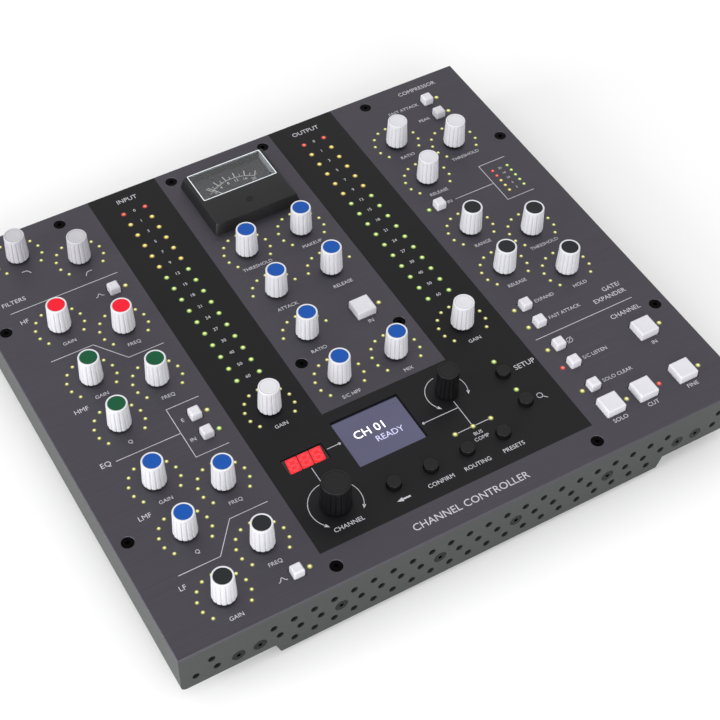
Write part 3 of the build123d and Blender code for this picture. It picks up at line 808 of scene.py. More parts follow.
@dataclass
class KnobSet:
    """Every knob on the panel. A group lists the small knobs of one colour, without their ending."""

    small: FlutedKnob = field(default_factory=FlutedKnob)
    jog: FlutedKnob = field(
        default_factory=lambda: FlutedKnob(7.5, 6.75, 5.9, 16.5, flutes=18, flute_depth=0.45)
    )
    push: FlutedKnob = field(default_factory=lambda: FlutedKnob(5.8, 5.05, 4.3, 16.2, flutes=16))
    groups: dict[KnobColour, str] = field(
        default_factory=lambda: {
            KnobColour.RED: "hf_gain hf_freq",
            KnobColour.GREEN: "hmf_gain hmf_freq hmf_width",
            KnobColour.BLUE: (
                "lmf_gain lmf_freq lmf_width bus_threshold bus_makeup "
                "bus_attack bus_release bus_ratio bus_filter bus_mix"
            ),
            KnobColour.CHARCOAL: "lf_freq lf_gain gate_range gate_threshold gate_release gate_hold",
            KnobColour.WHITE: "input_gain output_gain comp_ratio comp_threshold comp_release",
            KnobColour.GREY: "low_pass high_pass",
        }
    )

    def colours(self) -> dict[str, KnobColour]:
        """Each small knob's colour, in the order of the groups."""
        return {name: colour for colour, names in self.groups.items() for name in names.split()}

    def build(self, shop: Workshop) -> None:
        """Makes each knob in its colour."""
        for name, colour in self.colours().items():
            self.small.build(shop, name + "_knob", colour)
        self.jog.build(shop, "channel_jog_knob", KnobColour.BLACK)
        self.push.build(shop, "select_knob", KnobColour.BLACK)


# ---------------------------------------------------------------- keys


@dataclass
class SquareKey:
    """A square key cap with softened edges and a slightly dished top."""

    half: float
    corner: float
    height: float
    bevel: float
    edge_round: float = 0.22
    draft: float = 0.12
    lip: float = 0.75
    lip_top: float = -2.45
    lip_low: float = -3.15
    dish: float = 0.08
    dish_insets: tuple[float, float] = (0.7, 1.2)

    def outline(self, inset: float) -> np.ndarray:
        """The key's outline moved inwards, with its corners kept round."""
        corner = max(self.corner - inset, 0.15) if inset > 0 else self.corner - inset
        return rounded_rectangle(self.half - inset, self.half - inset, corner)

    def shell(self) -> Shell:
        """Lip, drafted side, bevel and dished top, as outlines stacked from the lip upwards."""
        shoulder = self.height - self.bevel
        side_in = self.draft
        rows = [
            (self.outline(-self.lip), self.lip_low),
            (self.outline(-self.lip), self.lip_top),
            (self.outline(0.0), self.lip_top),
            (self.outline(0.0), 0.0),
            (self.outline(side_in), shoulder - self.edge_round),
            (self.outline(side_in + 0.3 * self.edge_round), shoulder),
            (self.outline(side_in + 0.85 * self.bevel), self.height - 0.3 * self.edge_round),
            (self.outline(side_in + self.bevel + 0.5 * self.edge_round), self.height),
            (self.outline(side_in + self.bevel + self.dish_insets[0]), self.height - 0.5 * self.dish),
            (self.outline(side_in + self.bevel + self.dish_insets[1]), self.height - self.dish),
        ]
        return lofted(stacked(rows))

    def build(self, shop: Workshop, node: str) -> None:
        """Makes the key where its CAD node is, in place of it."""
        x, y = centre_of(node)
        shell = self.shell().moved(x, y, PLATE_TOP)
        cap = shop.piece(node + "_cap", shell, Plastic.KEY, node, "white_key", KEY_CREASE)
        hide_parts(node)


@dataclass
class RoundKey:
    """A round black key with a rounded rim and a dished top."""

    radius: float = 3.4
    height: float = 2.6
    rim: float = 0.5
    lip: float = 0.75
    lip_top: float = -2.45
    lip_low: float = -3.15
    dish: tuple[tuple[float, float], ...] = ((0.5, 0.12), (0.0, 0.15))

    def shell(self) -> Shell:
        """The key's profile, turned."""
        profile = [
            (self.radius + self.lip, self.lip_low),
            (self.radius + self.lip, self.lip_top),
            (self.radius, self.lip_top),
            *fillet_points(self.radius, self.height, self.rim),
            *[(self.radius * share, self.height - depth) for share, depth in self.dish],
        ]
        return turned_profile(profile, 40)

    def build(self, shop: Workshop, node: str) -> None:
        """Makes the key where its CAD node is, in place of it."""
        x, y = centre_of(node)
        shell = self.shell().moved(x, y, PLATE_TOP)
        cap = shop.piece(node + "_cap", shell, Plastic.BLACK, node, "black_key", KEY_CREASE)
        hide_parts(node)


@dataclass
class KeySet:
    """Every key on the panel. The names leave out their ending."""

    small: SquareKey = field(default_factory=lambda: SquareKey(2.8, 0.8, 4.0, 0.7))
    large: SquareKey = field(default_factory=lambda: SquareKey(5.15, 0.7, 4.0, 0.5))
    round: RoundKey = field(default_factory=RoundKey)
    small_names: str = (
        "hf_bell eq_type eq_in lf_bell comp_fast comp_peak "
        "dynamics_in gate_expand gate_fast polarity sidechain_listen solo_clear"
    )
    large_names: str = "bus_in channel_in solo cut fine"
    round_names: str = "back confirm routing presets layer zoom"

    def build(self, shop: Workshop) -> None:
        """Makes each key in its shape."""
        for shape, names in (
            (self.small, self.small_names),
            (self.large, self.large_names),
            (self.round, self.round_names),
        ):
            for name in names.split():
                shape.build(shop, name + "_key")


# ---------------------------------------------------------------- lamps


@dataclass(frozen=True)
class Columns:
    """Two columns of lamps either side of their numbers."""

    x: float
    half: float
    top: float
    pitch: float

    def height(self, row: int) -> float:
        """How far back a row lies."""
        return self.top - row * self.pitch


STRIP = Columns(52.8, 6.0, 114.9, 8.4)
GAIN_STRIP = Columns(128.1, 4.5, 49.0, 4.0)


@dataclass
class Lamps:
    """The domed ends of the light pipes, in their rings, strips and single places."""

    ring_radius: float = 12.0
    ring_step: float = 26.0
    ring_reach: int = 5
    short_reach: int = 3
    short_rings: tuple[str, ...] = ("bus_attack_knob", "bus_release_knob", "bus_ratio_knob")
    small_dome: float = 0.72
    large_dome: float = 0.95
    dome_height: float = 0.35
    seat: float = -0.3
    flange: float = 1.45  # flange radius as a multiple of the dome's
    flange_height: float = 0.03
    core: float = 0.3  # the core and the shade are shares of the flange's radius
    shade: float = 0.8
    strip_rows: int = 16
    amber_rows: int = 6
    key_offset: float = 6.2
    pad_offset: float = 9.1
    dot_offset: float = 7.9
    mode_pitch: float = 9.7
    mode_y: float = -88.3

    def dome(self, radius: float, count: int = 12) -> Shell:
        """One lamp: a barrel, a thin flange on the plate and a dome.

        Its level is 0 out to the core, a share of the flange's radius, and rises evenly to 1 at the
        shade. The dome's profile is radius times cos a across and height times sin a up, for a
        from 0 to a quarter turn.
        """
        a = np.linspace(0, math.pi / 2, 5)[:4]
        wide = radius * self.flange
        r = np.concatenate([[radius, radius, wide, wide], radius * np.cos(a)])
        z = np.concatenate(
            [[self.seat, 0.0, 0.0, self.flange_height], self.flange_height + self.dome_height * np.sin(a)]
        )
        shell = turned_profile(list(zip(r.tolist(), z.tolist())), count)
        share = np.hypot(shell.points[:, 0], shell.points[:, 1]) / wide
        return Shell(shell.points, shell.faces, np.clip((share - self.core) / (self.shade - self.core), 0, 1))

    def rows(self, places: list[tuple[float, float]]) -> np.ndarray:
        """Flat places lifted to the plate's top."""
        flat = np.array(places, float)
        return np.column_stack([flat, np.full(len(flat), PLATE_TOP)])

    def ring_places(self, nodes: list[str]) -> list[tuple[float, float]]:
        """Ring lamps: radius times (sin a, cos a) about each knob, a in equal steps from the top."""
        places = []
        for node in nodes:
            x, y = centre_of(node)
            reach = self.short_reach if node in self.short_rings else self.ring_reach
            a = np.radians(np.arange(-reach, reach + 1) * self.ring_step)
            places += list(zip(x + self.ring_radius * np.sin(a), y + self.ring_radius * np.cos(a)))
        return places

    def strip_places(self, first: int, last: int) -> list[tuple[float, float]]:
        """Level lamps of rows first to last, in all four columns."""
        return [
            (side * STRIP.x + half, STRIP.height(row))
            for side in (-1, 1)
            for half in (-STRIP.half, STRIP.half)
            for row in range(first, last)
        ]

    def gain_places(self, side: int, rows: range) -> list[tuple[float, float]]:
        """Gain reduction lamps in one column."""
        x = GAIN_STRIP.x + side * GAIN_STRIP.half
        return [(x, GAIN_STRIP.height(row)) for row in rows]

    def beside(self, node: str, dx: float, dy: float = 0.0) -> tuple[float, float]:
        """A place at an offset from a node's middle."""
        x, y = centre_of(node)
        return x + dx, y + dy

    def build(self, shop: Workshop, rings: list[str]) -> None:
        """Makes each colour's lamps as one piece."""
        small, large = self.dome(self.small_dome), self.dome(self.large_dome)
        k, p = self.key_offset, self.pad_offset
        yellow = [self.beside(n, k) for n in ("hf_bell_key", "eq_type_key", "lf_bell_key")]
        yellow += [self.beside(n, k) for n in ("comp_fast_key", "comp_peak_key")]
        yellow += [self.beside(n, -k) for n in ("gate_expand_key", "gate_fast_key", "polarity_key")]
        yellow += [self.beside("solo_clear_key", -k)]
        yellow += [self.beside(n, p) for n in ("bus_in_key", "channel_in_key", "solo_key", "fine_key")]
        select_x = centre_of("select_knob")[0]
        yellow += [(select_x + i * self.mode_pitch, self.mode_y) for i in (-1, 0, 1)]
        green = self.strip_places(self.amber_rows, self.strip_rows)
        green += [self.beside("eq_in_key", k), self.beside("dynamics_in_key", -k)]
        green += [self.beside(n, 0, self.dot_offset) for n in ("layer_key", "zoom_key")]
        red = self.strip_places(0, 1) + [self.beside("sidechain_listen_key", -k), self.beside("cut_key", p)]
        groups = [
            ("ring_lamps", small, self.ring_places(rings), Glow.YELLOW),
            ("key_lamps_yellow", large, yellow, Glow.YELLOW),
            ("strip_lamps_amber", large, self.strip_places(1, self.amber_rows), Glow.AMBER),
            ("strip_lamps_green", large, green, Glow.GREEN),
            ("lamps_red", large, red, Glow.RED),
            ("gain_lamps_red", small, self.gain_places(-1, range(0, 2)), Glow.RED),
            ("gain_lamps_amber", small, self.gain_places(-1, range(2, 5)), Glow.AMBER),
            ("gain_lamps_green", small, self.gain_places(1, range(0, 5)), Glow.GREEN),
        ]
        for name, shape, places, glow in groups:
            shop.piece(name, shape.copies(self.rows(places)), glow, CHASSIS, "board")


# ---------------------------------------------------------------- print


class Align(Enum):
    """How a word sits on its point."""

    LEFT = "LEFT"
    CENTRE = "CENTER"
    RIGHT = "RIGHT"


@dataclass(frozen=True)
class Word:
    """One printed word: what it says, where its middle line is, its capital height and its side."""

    text: str
    x: float
    y: float
    size: float = 2.4
    align: Align = Align.CENTRE


def word_shell(word: Word, low: float, thickness: float) -> Shell:
    """Turns a word into flat raised letters.

    The built-in font's outline is filled and given a thickness as a mesh first. Points that meet
    become one, and the word's place is then added to them.
    """
    curve = bpy.data.curves.new("word", "FONT")
    curve.body = word.text
    curve.size = word.size / CAPITAL_SHARE
    curve.align_x = word.align.value
    curve.align_y = "CENTER"
    curve.resolution_u = 3
    curve.extrude = thickness / 2
    holder = bpy.data.objects.new("word", curve)
    bpy.context.scene.collection.objects.link(holder)
    bpy.context.view_layer.update()
    mesh = bpy.data.meshes.new_from_object(holder.evaluated_get(bpy.context.evaluated_depsgraph_get()))
    points = np.zeros(len(mesh.vertices) * 3, np.float32)
    mesh.vertices.foreach_get("co", points)
    polygons = [list(p.vertices) for p in mesh.polygons]
    bpy.data.objects.remove(holder)
    bpy.data.curves.remove(curve)
    bpy.data.meshes.remove(mesh)
    welded, owner = np.unique(points.reshape(-1, 3).round(WELD_DIGITS), axis=0, return_inverse=True)
    owner = owner.reshape(-1)
    tris = owner[np.array([p for p in polygons if len(p) == 3], int).reshape(-1, 3)]
    quads = owner[np.array([p for p in polygons if len(p) == 4], int).reshape(-1, 4)]
    place = np.array([word.x, word.y, low + thickness / 2])
    return Shell(welded + place, [tris, quads])


@dataclass
class PanelPrint:
    """The white lettering and lines on the plate."""

    film: float = 0.05
    line_width: float = 0.35
    below_knob: float = 11.7
    knob_size: float = 2.1
    strip_size: float = 1.9
    gain_size: float = 1.5
    gain_levels: tuple[int, ...] = (20, 14, 10, 6, 3)
    levels: tuple[int, ...] = (0, 1, 3, 5, 7, 9, 12, 15, 18, 21, 24, 27, 30, 40, 50, 60)
    knob_words: tuple[tuple[str, str], ...] = (
        ("hf_gain", "GAIN"), ("hf_freq", "FREQ"), ("hmf_gain", "GAIN"), ("hmf_freq", "FREQ"),
        ("hmf_width", "Q"), ("lmf_gain", "GAIN"), ("lmf_freq", "FREQ"), ("lmf_width", "Q"),
        ("lf_freq", "FREQ"), ("lf_gain", "GAIN"), ("input_gain", "GAIN"), ("output_gain", "GAIN"),
        ("bus_threshold", "THRESHOLD"), ("bus_makeup", "MAKEUP"), ("bus_attack", "ATTACK"),
        ("bus_release", "RELEASE"), ("bus_ratio", "RATIO"), ("bus_filter", "S/C HPF"),
        ("bus_mix", "MIX"), ("comp_ratio", "RATIO"), ("comp_threshold", "THRESHOLD"),
        ("comp_release", "RELEASE"), ("gate_range", "RANGE"), ("gate_threshold", "THRESHOLD"),
        ("gate_release", "RELEASE"), ("gate_hold", "HOLD"),
    )
    words: tuple[Word, ...] = (
        Word("FILTERS", -137.5, 86.3, 2.7, Align.LEFT),
        Word("HF", -131.5, 72.0, 2.7),
        Word("HMF", -129.8, 8.4, 2.7),
        Word("EQ", -133.0, -25.6, 3.0),
        Word("LMF", -129.8, -60.0, 2.7),
        Word("LF", -131.4, -101.0, 2.7),
        Word("E", -91.4, -19.7, 2.2),
        Word("IN", -92.0, -32.1, 2.2),
        Word("INPUT", -52.9, 124.0, 2.9),
        Word("OUTPUT", 52.6, 124.0, 2.9),
        Word("COMPRESSOR", 134.0, 124.0, 2.7, Align.RIGHT),
        Word("FAST ATTACK", 116.5, 112.8, 2.1, Align.RIGHT),
        Word("PEAK", 116.5, 100.4, 2.1, Align.RIGHT),
        Word("IN", 92.0, 40.9, 2.2),
        Word("EXPAND", 91.3, -38.3, 2.1, Align.LEFT),
        Word("FAST ATTACK", 91.3, -50.6, 2.1, Align.LEFT),
        Word("GATE/", 134.8, -48.4, 2.7, Align.RIGHT),
        Word("EXPANDER", 134.8, -53.2, 2.7, Align.RIGHT),
        Word("CHANNEL", 134.8, -65.4, 2.7, Align.RIGHT),
        Word("S/C LISTEN", 91.3, -79.5, 2.1, Align.LEFT),
        Word("SOLO CLEAR", 91.3, -95.6, 2.1, Align.LEFT),
        Word("IN", 127.1, -88.0, 2.2),
        Word("IN", 15.4, -9.6, 2.2),
        Word("SOLO", 85.7, -118.0, 2.3),
        Word("CUT", 104.3, -118.0, 2.3),
        Word("FINE", 127.1, -118.0, 2.3),
        Word("CHANNEL", -53.0, -107.4, 2.4),
        Word("CONFIRM", -5.4, -107.5, 2.3),
        Word("ROUTING", 14.1, -107.5, 2.3),
        Word("PRESETS", 33.5, -107.5, 2.3),
        Word("BUS", 23.7, -92.6, 2.0),
        Word("COMP", 23.7, -95.8, 2.0),
        Word("SETUP", 59.2, -68.9, 3.0, Align.LEFT),
        Word("CHANNEL CONTROLLER", 0.5, -123.4, 3.9),
    )

    def lines(self) -> list[np.ndarray]:
        """The straight printed lines, each as a path."""
        return [
            np.array(path, float)
            for path in (
                [(-135.6, 79.8), (-78.6, 79.8)],
                [(-130.4, 42.4), (-108.6, 42.4), (-97.0, 27.0), (-78.6, 27.0)],
                [(-78.6, -10.4), (-95.4, -10.4), (-95.4, -41.6), (-78.6, -41.6)],
                [(-128.0, -26.0), (-95.4, -26.0)],
                [(-130.4, -94.6), (-110.0, -94.6), (-97.6, -79.0), (-78.6, -79.0)],
                [(78.0, -59.2), (134.5, -59.2)],
                [(95.4, 41.0), (119.0, 41.0)],
                [(135.0, 55.4), (119.0, 55.4), (119.0, 27.4), (135.0, 27.4)],
                [(-41.5, -66.8), (-35.0, -66.8)],
                [(-52.7, -72.6), (-52.7, -81.5)],
                [(4.7, -75.7), (23.6, -75.7)],
                [(23.6, -71.5), (23.6, -87.0)],
                [(15.4, -88.3), (22.3, -88.3)],
                [(25.0, -88.3), (32.0, -88.3)],
            )
        ]

    def curves(self) -> list[np.ndarray]:
        """The curved marks: bell and shelf signs, arcs round the selectors, and small signs."""
        t = np.linspace(-1, 1, 25)
        bell = np.stack([2.2 * t, 1.9 * np.exp(-((t / 0.42) ** 2)) - 0.8], -1)
        low = np.stack([2.0 * t, np.where(t < 0, 0.9, 0.9 - 2.4 * t**2)], -1)
        high = low * np.array([-1, 1])
        ring = np.stack([np.cos(t * math.pi), np.sin(t * math.pi)], -1)
        made = [bell + (-92.6, 70.0), bell + (-92.2, -118.2), low + (-118.0, 102.0), high + (-91.0, 86.6)]
        made.append(1.5 * ring[:-1] + (92.2, -67.0))
        made.append(np.array([(90.6, -68.8), (93.8, -65.2)]))
        made.append(1.4 * ring[:-1] + (60.6, -88.2))
        made.append(np.array([(61.6, -89.2), (63.4, -91.0)]))
        for x, y, radius, start, end in self.arcs():
            a = np.radians(np.linspace(start, end, 33))
            made.append(np.stack([x + radius * np.cos(a), y + radius * np.sin(a)], -1))
        return made

    def arcs(self) -> list[tuple[float, float, float, float, float]]:
        """Centre, radius, first and last angle of each arc round the two selectors."""
        made = []
        for node, radius, right_end, left_end in (
            ("channel_jog_knob", 12.6, -32.0, 220.0),
            ("select_knob", 10.2, -25.0, 216.0),
        ):
            x, y = centre_of(node)
            made += [(x, y, radius, 60.0, right_end), (x, y, radius, 96.0, left_end)]
        return made

    def arrowheads(self) -> list[Shell]:
        """Triangles at the arcs' ends, and the arrow that means back."""
        made = []
        low, high = PLATE_TOP, PLATE_TOP + self.film
        triangle = np.array([(1.9, 0.0), (-0.4, 0.85), (-0.4, -0.85)])
        for x, y, radius, start, end in self.arcs():
            a = math.radians(end)
            head = prism(triangle, low, high).turned(end + math.copysign(90, end - start))
            made.append(head.moved(x + radius * math.cos(a), y + radius * math.sin(a)))
        made.append(prism(triangle * 1.3, low, high).turned(180).moved(-26.0, -107.5))
        made.append(ribbon(np.array([(-25.4, -107.5), (-21.6, -107.5)]), 0.9, low, high))
        return made

    def build(self, shop: Workshop) -> None:
        """Prints lines, signs and words as two thin pieces on the plate."""
        low, high = PLATE_TOP, PLATE_TOP + self.film
        marks = [ribbon(path, self.line_width, low, high) for path in self.lines() + self.curves()]
        dots = turned_profile([(0.7, low), (0.7, high)], 16)
        marks += [dots.moved(-35.0, -66.8), dots.moved(4.7, -75.7)]
        shop.piece("printed_lines", join(marks + self.arrowheads()), Ink.WHITE, CHASSIS, "plate")
        words = list(self.words)
        for name, text in self.knob_words:
            x, y = centre_of(name + "_knob")
            words.append(Word(text, x, y - self.below_knob, self.knob_size))
        for row, level in enumerate(self.levels):
            y = STRIP.height(row)
            words += [Word(str(level), side * STRIP.x, y, self.strip_size) for side in (-1, 1)]
        for row, level in enumerate(self.gain_levels):
            words.append(Word(str(level), GAIN_STRIP.x, GAIN_STRIP.height(row), self.gain_size))
        letters = join([word_shell(word, low, self.film) for word in words])
        shop.piece("printed_words", letters, Ink.WHITE, CHASSIS, "plate")


# ---------------------------------------------------------------- displays


@dataclass
class Screen:
    """The small colour screen, sunk in its window."""

    x: float = -15.3
    y: float = -68.7
    half_x: float = 18.0
    half_y: float = 14.3
    depth: float = 1.3
    frame_width: float = 0.55
    frame_margin: float = 0.6
    frame_low: float = -0.9
    frame_high: float = -0.06
    letter_film: float = 0.04

    def build(self, shop: Workshop) -> None:
        """Makes the black frame, the lit face and what the face shows."""
        face_z = PLATE_TOP - self.depth
        inner_x, inner_y = self.half_x - self.frame_width, self.half_y - self.frame_width
        outer = rounded_rectangle(self.half_x + self.frame_margin, self.half_y + self.frame_margin, 0.8)
        inner = rounded_rectangle(inner_x, inner_y, 0.5)
        border = [(outer, self.frame_low), (outer, self.frame_high), (inner, self.frame_high)]
        frame_shell = lofted(stacked(border)).moved(self.x, self.y, face_z)
        shop.piece("screen_frame", frame_shell, Plastic.CASE, CHASSIS, "board")
        face = prism(rounded_rectangle(inner_x, inner_y, 0.4), -0.5, 0.0).moved(self.x, self.y, face_z)
        shop.piece("screen_face", face, LitScreen(), CHASSIS, "board")
        words = [
            ("screen_title", Word("CH 01", self.x - 3.0, self.y + 2.6, 4.6), Glow.SCREEN_BRIGHT),
            ("screen_state", Word("READY", self.x + 4.0, self.y - 3.6, 3.4), Glow.SCREEN_DIM),
        ]
        for name, word, glow in words:
            letters = join([word_shell(word, face_z, self.letter_film)])
            shop.piece(name, letters, glow, CHASSIS, "board")


@dataclass
class Digits:
    """Three lit seven-segment digits under a smoked red filter."""

    x: float = -52.8
    y: float = -67.0
    pitch: float = 6.2
    half_w: float = 1.75
    half_h: float = 2.9
    bar: float = 1.15
    slant: float = 0.12
    lit: tuple[str, ...] = ("abcdefg",) * 3
    tip_gap: float = 0.15  # keeps the ends of neighbouring bars apart
    sink: float = 0.45
    filter_thickness: float = 0.12
    pane_heights: tuple[float, float] = (-0.05, 0.03)
    bar_height: float = 0.08
    filter_size: tuple[float, float, float] = (10.3, 4.4, 0.4)  # half width, half height, corner
    pane_size: tuple[float, float, float] = (2.85, 4.0, 0.7)

    def segment(self, start: tuple[float, float], end: tuple[float, float]) -> np.ndarray:
        """A bar with pointed ends between two corners, seen from above."""
        a, b = np.array(start), np.array(end)
        along = (b - a) / np.linalg.norm(b - a)
        side = np.array([-along[1], along[0]]) * self.bar / 2
        tip = along * self.tip_gap
        back = along * (self.bar / 2 + self.tip_gap)
        flat = np.array(
            [a + tip, a + back - side, b - back - side, b - tip, b - back + side, a + back + side]
        )
        flat[:, 0] += flat[:, 1] * self.slant
        return flat

    def build(self, shop: Workshop) -> None:
        """Makes the filter and the lit segments."""
        w, h = self.half_w, self.half_h
        corners = {
            "a": ((-w, h), (w, h)),
            "b": ((w, 0.0), (w, h)),
            "c": ((w, -h), (w, 0.0)),
            "d": ((-w, -h), (w, -h)),
            "e": ((-w, -h), (-w, 0.0)),
            "f": ((-w, 0.0), (-w, h)),
            "g": ((-w, 0.0), (w, 0.0)),
        }
        face = PLATE_TOP - self.sink
        smoked = prism(rounded_rectangle(*self.filter_size), face - self.filter_thickness, face)
        shop.piece("digit_filter", smoked.moved(self.x, self.y), Plastic.DIGITS, CHASSIS, "board")
        pane = rounded_rectangle(*self.pane_size)
        pane[:, 0] += pane[:, 1] * self.slant
        shifts = [(k - (len(self.lit) - 1) / 2) * self.pitch for k in range(len(self.lit))]
        low, high = (face + z for z in self.pane_heights)
        panes = [prism(pane, low, high).moved(self.x + shift, self.y) for shift in shifts]
        shop.piece("digit_panes", join(panes), Glow.DIGIT_BACK, CHASSIS, "board")
        bars = []
        for shift, letters in zip(shifts, self.lit):
            shapes = [prism(self.segment(*corners[s]), face, face + self.bar_height) for s in letters]
            bars += [shape.moved(self.x + shift, self.y) for shape in shapes]
        shop.piece("digit_segments", join(bars), Glow.DIGIT, CHASSIS, "board")


# ---------------------------------------------------------------- meter


@dataclass
class NeedleMeter:
    """The moving-coil meter: case, clear window, dial, needle and zero adjuster."""

    y: float = 98.5
    half_x: float = 23.0
    half_y: float = 19.4
    draft: float = 1.6
    height: float = 6.5
    wall: float = 1.3
    window_y: float = 107.4
    window_half_x: float = 21.1
    window_half_y: float = 10.1
    dial_depth: float = 5.5
    pivot_y: float = 87.7
    scale_radius: float = 22.0
    sweep: float = 34.0
    needle_length: float = 24.6
    needle_height: float = 1.35
    numbers: tuple[int, ...] = (0, 4, 8, 12, 16, 20)
    film: float = 0.04
    long_tick: tuple[float, float] = (3.7, 0.5)  # length and width
    short_tick: tuple[float, float] = (2.0, 0.3)
    arc_width: float = 0.3
    number_gap: float = 2.2
    number_size: float = 1.9
    unit_rise: float = 12.0
    unit_size: float = 1.6
    blade_halves: tuple[float, float] = (0.45, 0.13)  # half the needle's width at its tail and tip
    blade_tail: float = 1.0
    blade_half_depth: float = 0.12
    screw_radius: float = 1.8
    screw_rise: float = 1.5
    screw_heights: tuple[float, float] = (-0.1, 0.22)
    slot_half: float = 0.28

    def case(self) -> Shell:
        """The case as one skin.

        Rounded rectangles run up the outer side, over a small round edge and across the top to
        the window's opening, then down its wall and out to the inner wall, and down to the plate.
        """
        hx, hy, top, shift = self.half_x, self.half_y, self.height, self.window_y - self.y
        hole = rounded_rectangle(self.window_half_x, self.window_half_y, 0.8) + (0.0, shift)
        inner = rounded_rectangle(hx - self.wall, hy - self.wall, 1.2)
        slope = self.draft / top
        base, shoulder = self.draft - 0.02, self.draft - slope * (top - 0.6) - 0.02
        rows = [
            (rounded_rectangle(hx + base, hy + base, 1.4), 0.0),
            (rounded_rectangle(hx + shoulder, hy + shoulder, 1.1), top - 0.6),
            (rounded_rectangle(hx - 0.1, hy - 0.1, 1.0), top - 0.2),
            (rounded_rectangle(hx - 0.5, hy - 0.5, 0.8), top),
            (hole, top),
            (hole, top - self.wall),
            (inner, top - self.wall - 0.2),
            (inner, 0.0),
        ]
        return lofted(stacked(rows), looped=True)

    def window(self) -> Shell:
        """A clear pane with a bevelled edge, flush with the case's top."""
        hx, hy, top = self.window_half_x - 0.05, self.window_half_y - 0.05, self.height
        rows = [
            (rounded_rectangle(hx, hy, 0.7), top - 1.3),
            (rounded_rectangle(hx, hy, 0.7), top - 0.35),
            (rounded_rectangle(hx - 0.5, hy - 0.5, 0.5), top),
        ]
        return lofted(stacked(rows)).moved(0, self.window_y, PLATE_TOP)

    def tube(self, outer: float, inner: float, low: float, high: float) -> Shell:
        """A square-cornered tube round the window's outline.

        Args:
            outer, inner: how far its two walls stand inside the opening's edge.
            low, high: its two heights above the plate.

        Returns:
            Outer wall, top, inner wall and bottom as one closed skin.
        """
        hx, hy = self.window_half_x, self.window_half_y
        wide = rounded_rectangle(hx - outer, hy - outer, 0.7)
        narrow = rounded_rectangle(hx - inner, hy - inner, 0.5)
        rows = [(wide, low), (wide, high), (narrow, high), (narrow, low)]
        return lofted(stacked(rows), looped=True).moved(0, self.window_y, PLATE_TOP)

    def arc(self, radius: float, start: float, end: float, count: int = 33) -> np.ndarray:
        """Points at a radius from the pivot, between two angles from straight up."""
        a = np.radians(np.linspace(start, end, count))
        return np.stack([radius * np.sin(a), self.pivot_y + radius * np.cos(a)], -1)

    def dial_print(self, z: float) -> Shell:
        """The scale: an arc, a tick for each step, a number at each long tick, and the unit."""
        high = z + self.film
        marks = [ribbon(self.arc(self.scale_radius, -self.sweep, self.sweep), self.arc_width, z, high)]
        steps = 2 * (len(self.numbers) - 1)
        for k in range(steps + 1):
            angle = -self.sweep + 2 * self.sweep * k / steps
            reach, width = self.long_tick if k % 2 == 0 else self.short_tick
            ends = np.concatenate(
                [
                    self.arc(self.scale_radius, angle, angle, 1),
                    self.arc(self.scale_radius + reach, angle, angle, 1),
                ]
            )
            marks.append(ribbon(ends, width, z, high))
        for k, number in enumerate(self.numbers):
            angle = -self.sweep + 2 * self.sweep * k / (len(self.numbers) - 1)
            x, y = self.arc(self.scale_radius - self.number_gap, angle, angle, 1)[0]
            marks.append(word_shell(Word(str(number), x, y, self.number_size), z, self.film))
        unit = Word("dB COMPRESSION", 0.0, self.pivot_y + self.unit_rise, self.unit_size)
        marks.append(word_shell(unit, z, self.film))
        return join(marks)

    def needle(self, z: float) -> Shell:
        """A tapered blade on a turned hub, at the left end of its sweep."""
        (wide, narrow), tail, tip = self.blade_halves, -self.blade_tail, self.needle_length
        blade = np.array([(wide, tail), (narrow, tip), (-narrow, tip), (-wide, tail)])
        pointer = prism(blade, -self.blade_half_depth, self.blade_half_depth).turned(self.sweep)
        hub = turned_profile([(2.2, -0.7), *fillet_points(2.3, 0.8, 0.4), (0.0, 0.85)], 32)
        return join([pointer, hub]).moved(0, self.pivot_y, z)

    def adjuster(self) -> Shell:
        """The slotted zero screw: a domed head whose two halves stand each side of the slot."""
        a = np.linspace(0, math.pi, 17)
        across, up = self.screw_radius * np.cos(a), self.slot_half + self.screw_rise * np.sin(a)
        part = prism(np.stack([across, up], -1), *self.screw_heights)
        return join([part, part.turned(180)]).moved(0, self.pivot_y, PLATE_TOP + self.height)

    def build(self, shop: Workshop) -> None:
        """Makes the meter in place of its CAD nodes."""
        shell = self.case().moved(0, self.y, PLATE_TOP)
        case = shop.piece("meter_housing", shell, Plastic.CASE, CHASSIS, "meter_case")
        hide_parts("meter_case")
        shop.piece("meter_window", self.window(), ClearAcrylic(), CHASSIS, "meter_case")
        floor, pane_low = self.height - self.dial_depth, self.height - 1.35
        well = self.tube(outer=0.1, inner=0.5, low=floor, high=pane_low)
        shop.piece("meter_well", well, Plastic.WELL, CHASSIS, "meter_case")
        rim = self.tube(outer=-0.05, inner=0.4, low=self.height - 0.1, high=self.height + 0.06)
        shop.piece("meter_rim", rim, Plastic.WELL, CHASSIS, "meter_case")
        dial_z = PLATE_TOP + self.height - self.dial_depth
        card_x, card_y = self.half_x - self.wall - 0.1, self.half_y - self.wall - 0.1
        card = prism(rounded_rectangle(card_x, card_y, 1.0), -0.6, 0.0)
        shop.piece("meter_dial", card.moved(0, self.y, dial_z), Plastic.CARD, CHASSIS, "meter_case")
        shop.piece("meter_scale", self.dial_print(dial_z), Ink.DIAL, CHASSIS, "meter_case")
        shop.piece("meter_adjuster", self.adjuster(), Plastic.BLACK, CHASSIS, "meter_case")
        needle = self.needle(dial_z + self.needle_height)
        pointer = shop.piece("meter_pointer", needle, Ink.DIAL, "needle", "needle")
        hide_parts("meter_needle")


# ---------------------------------------------------------------- casing, floor, light and camera


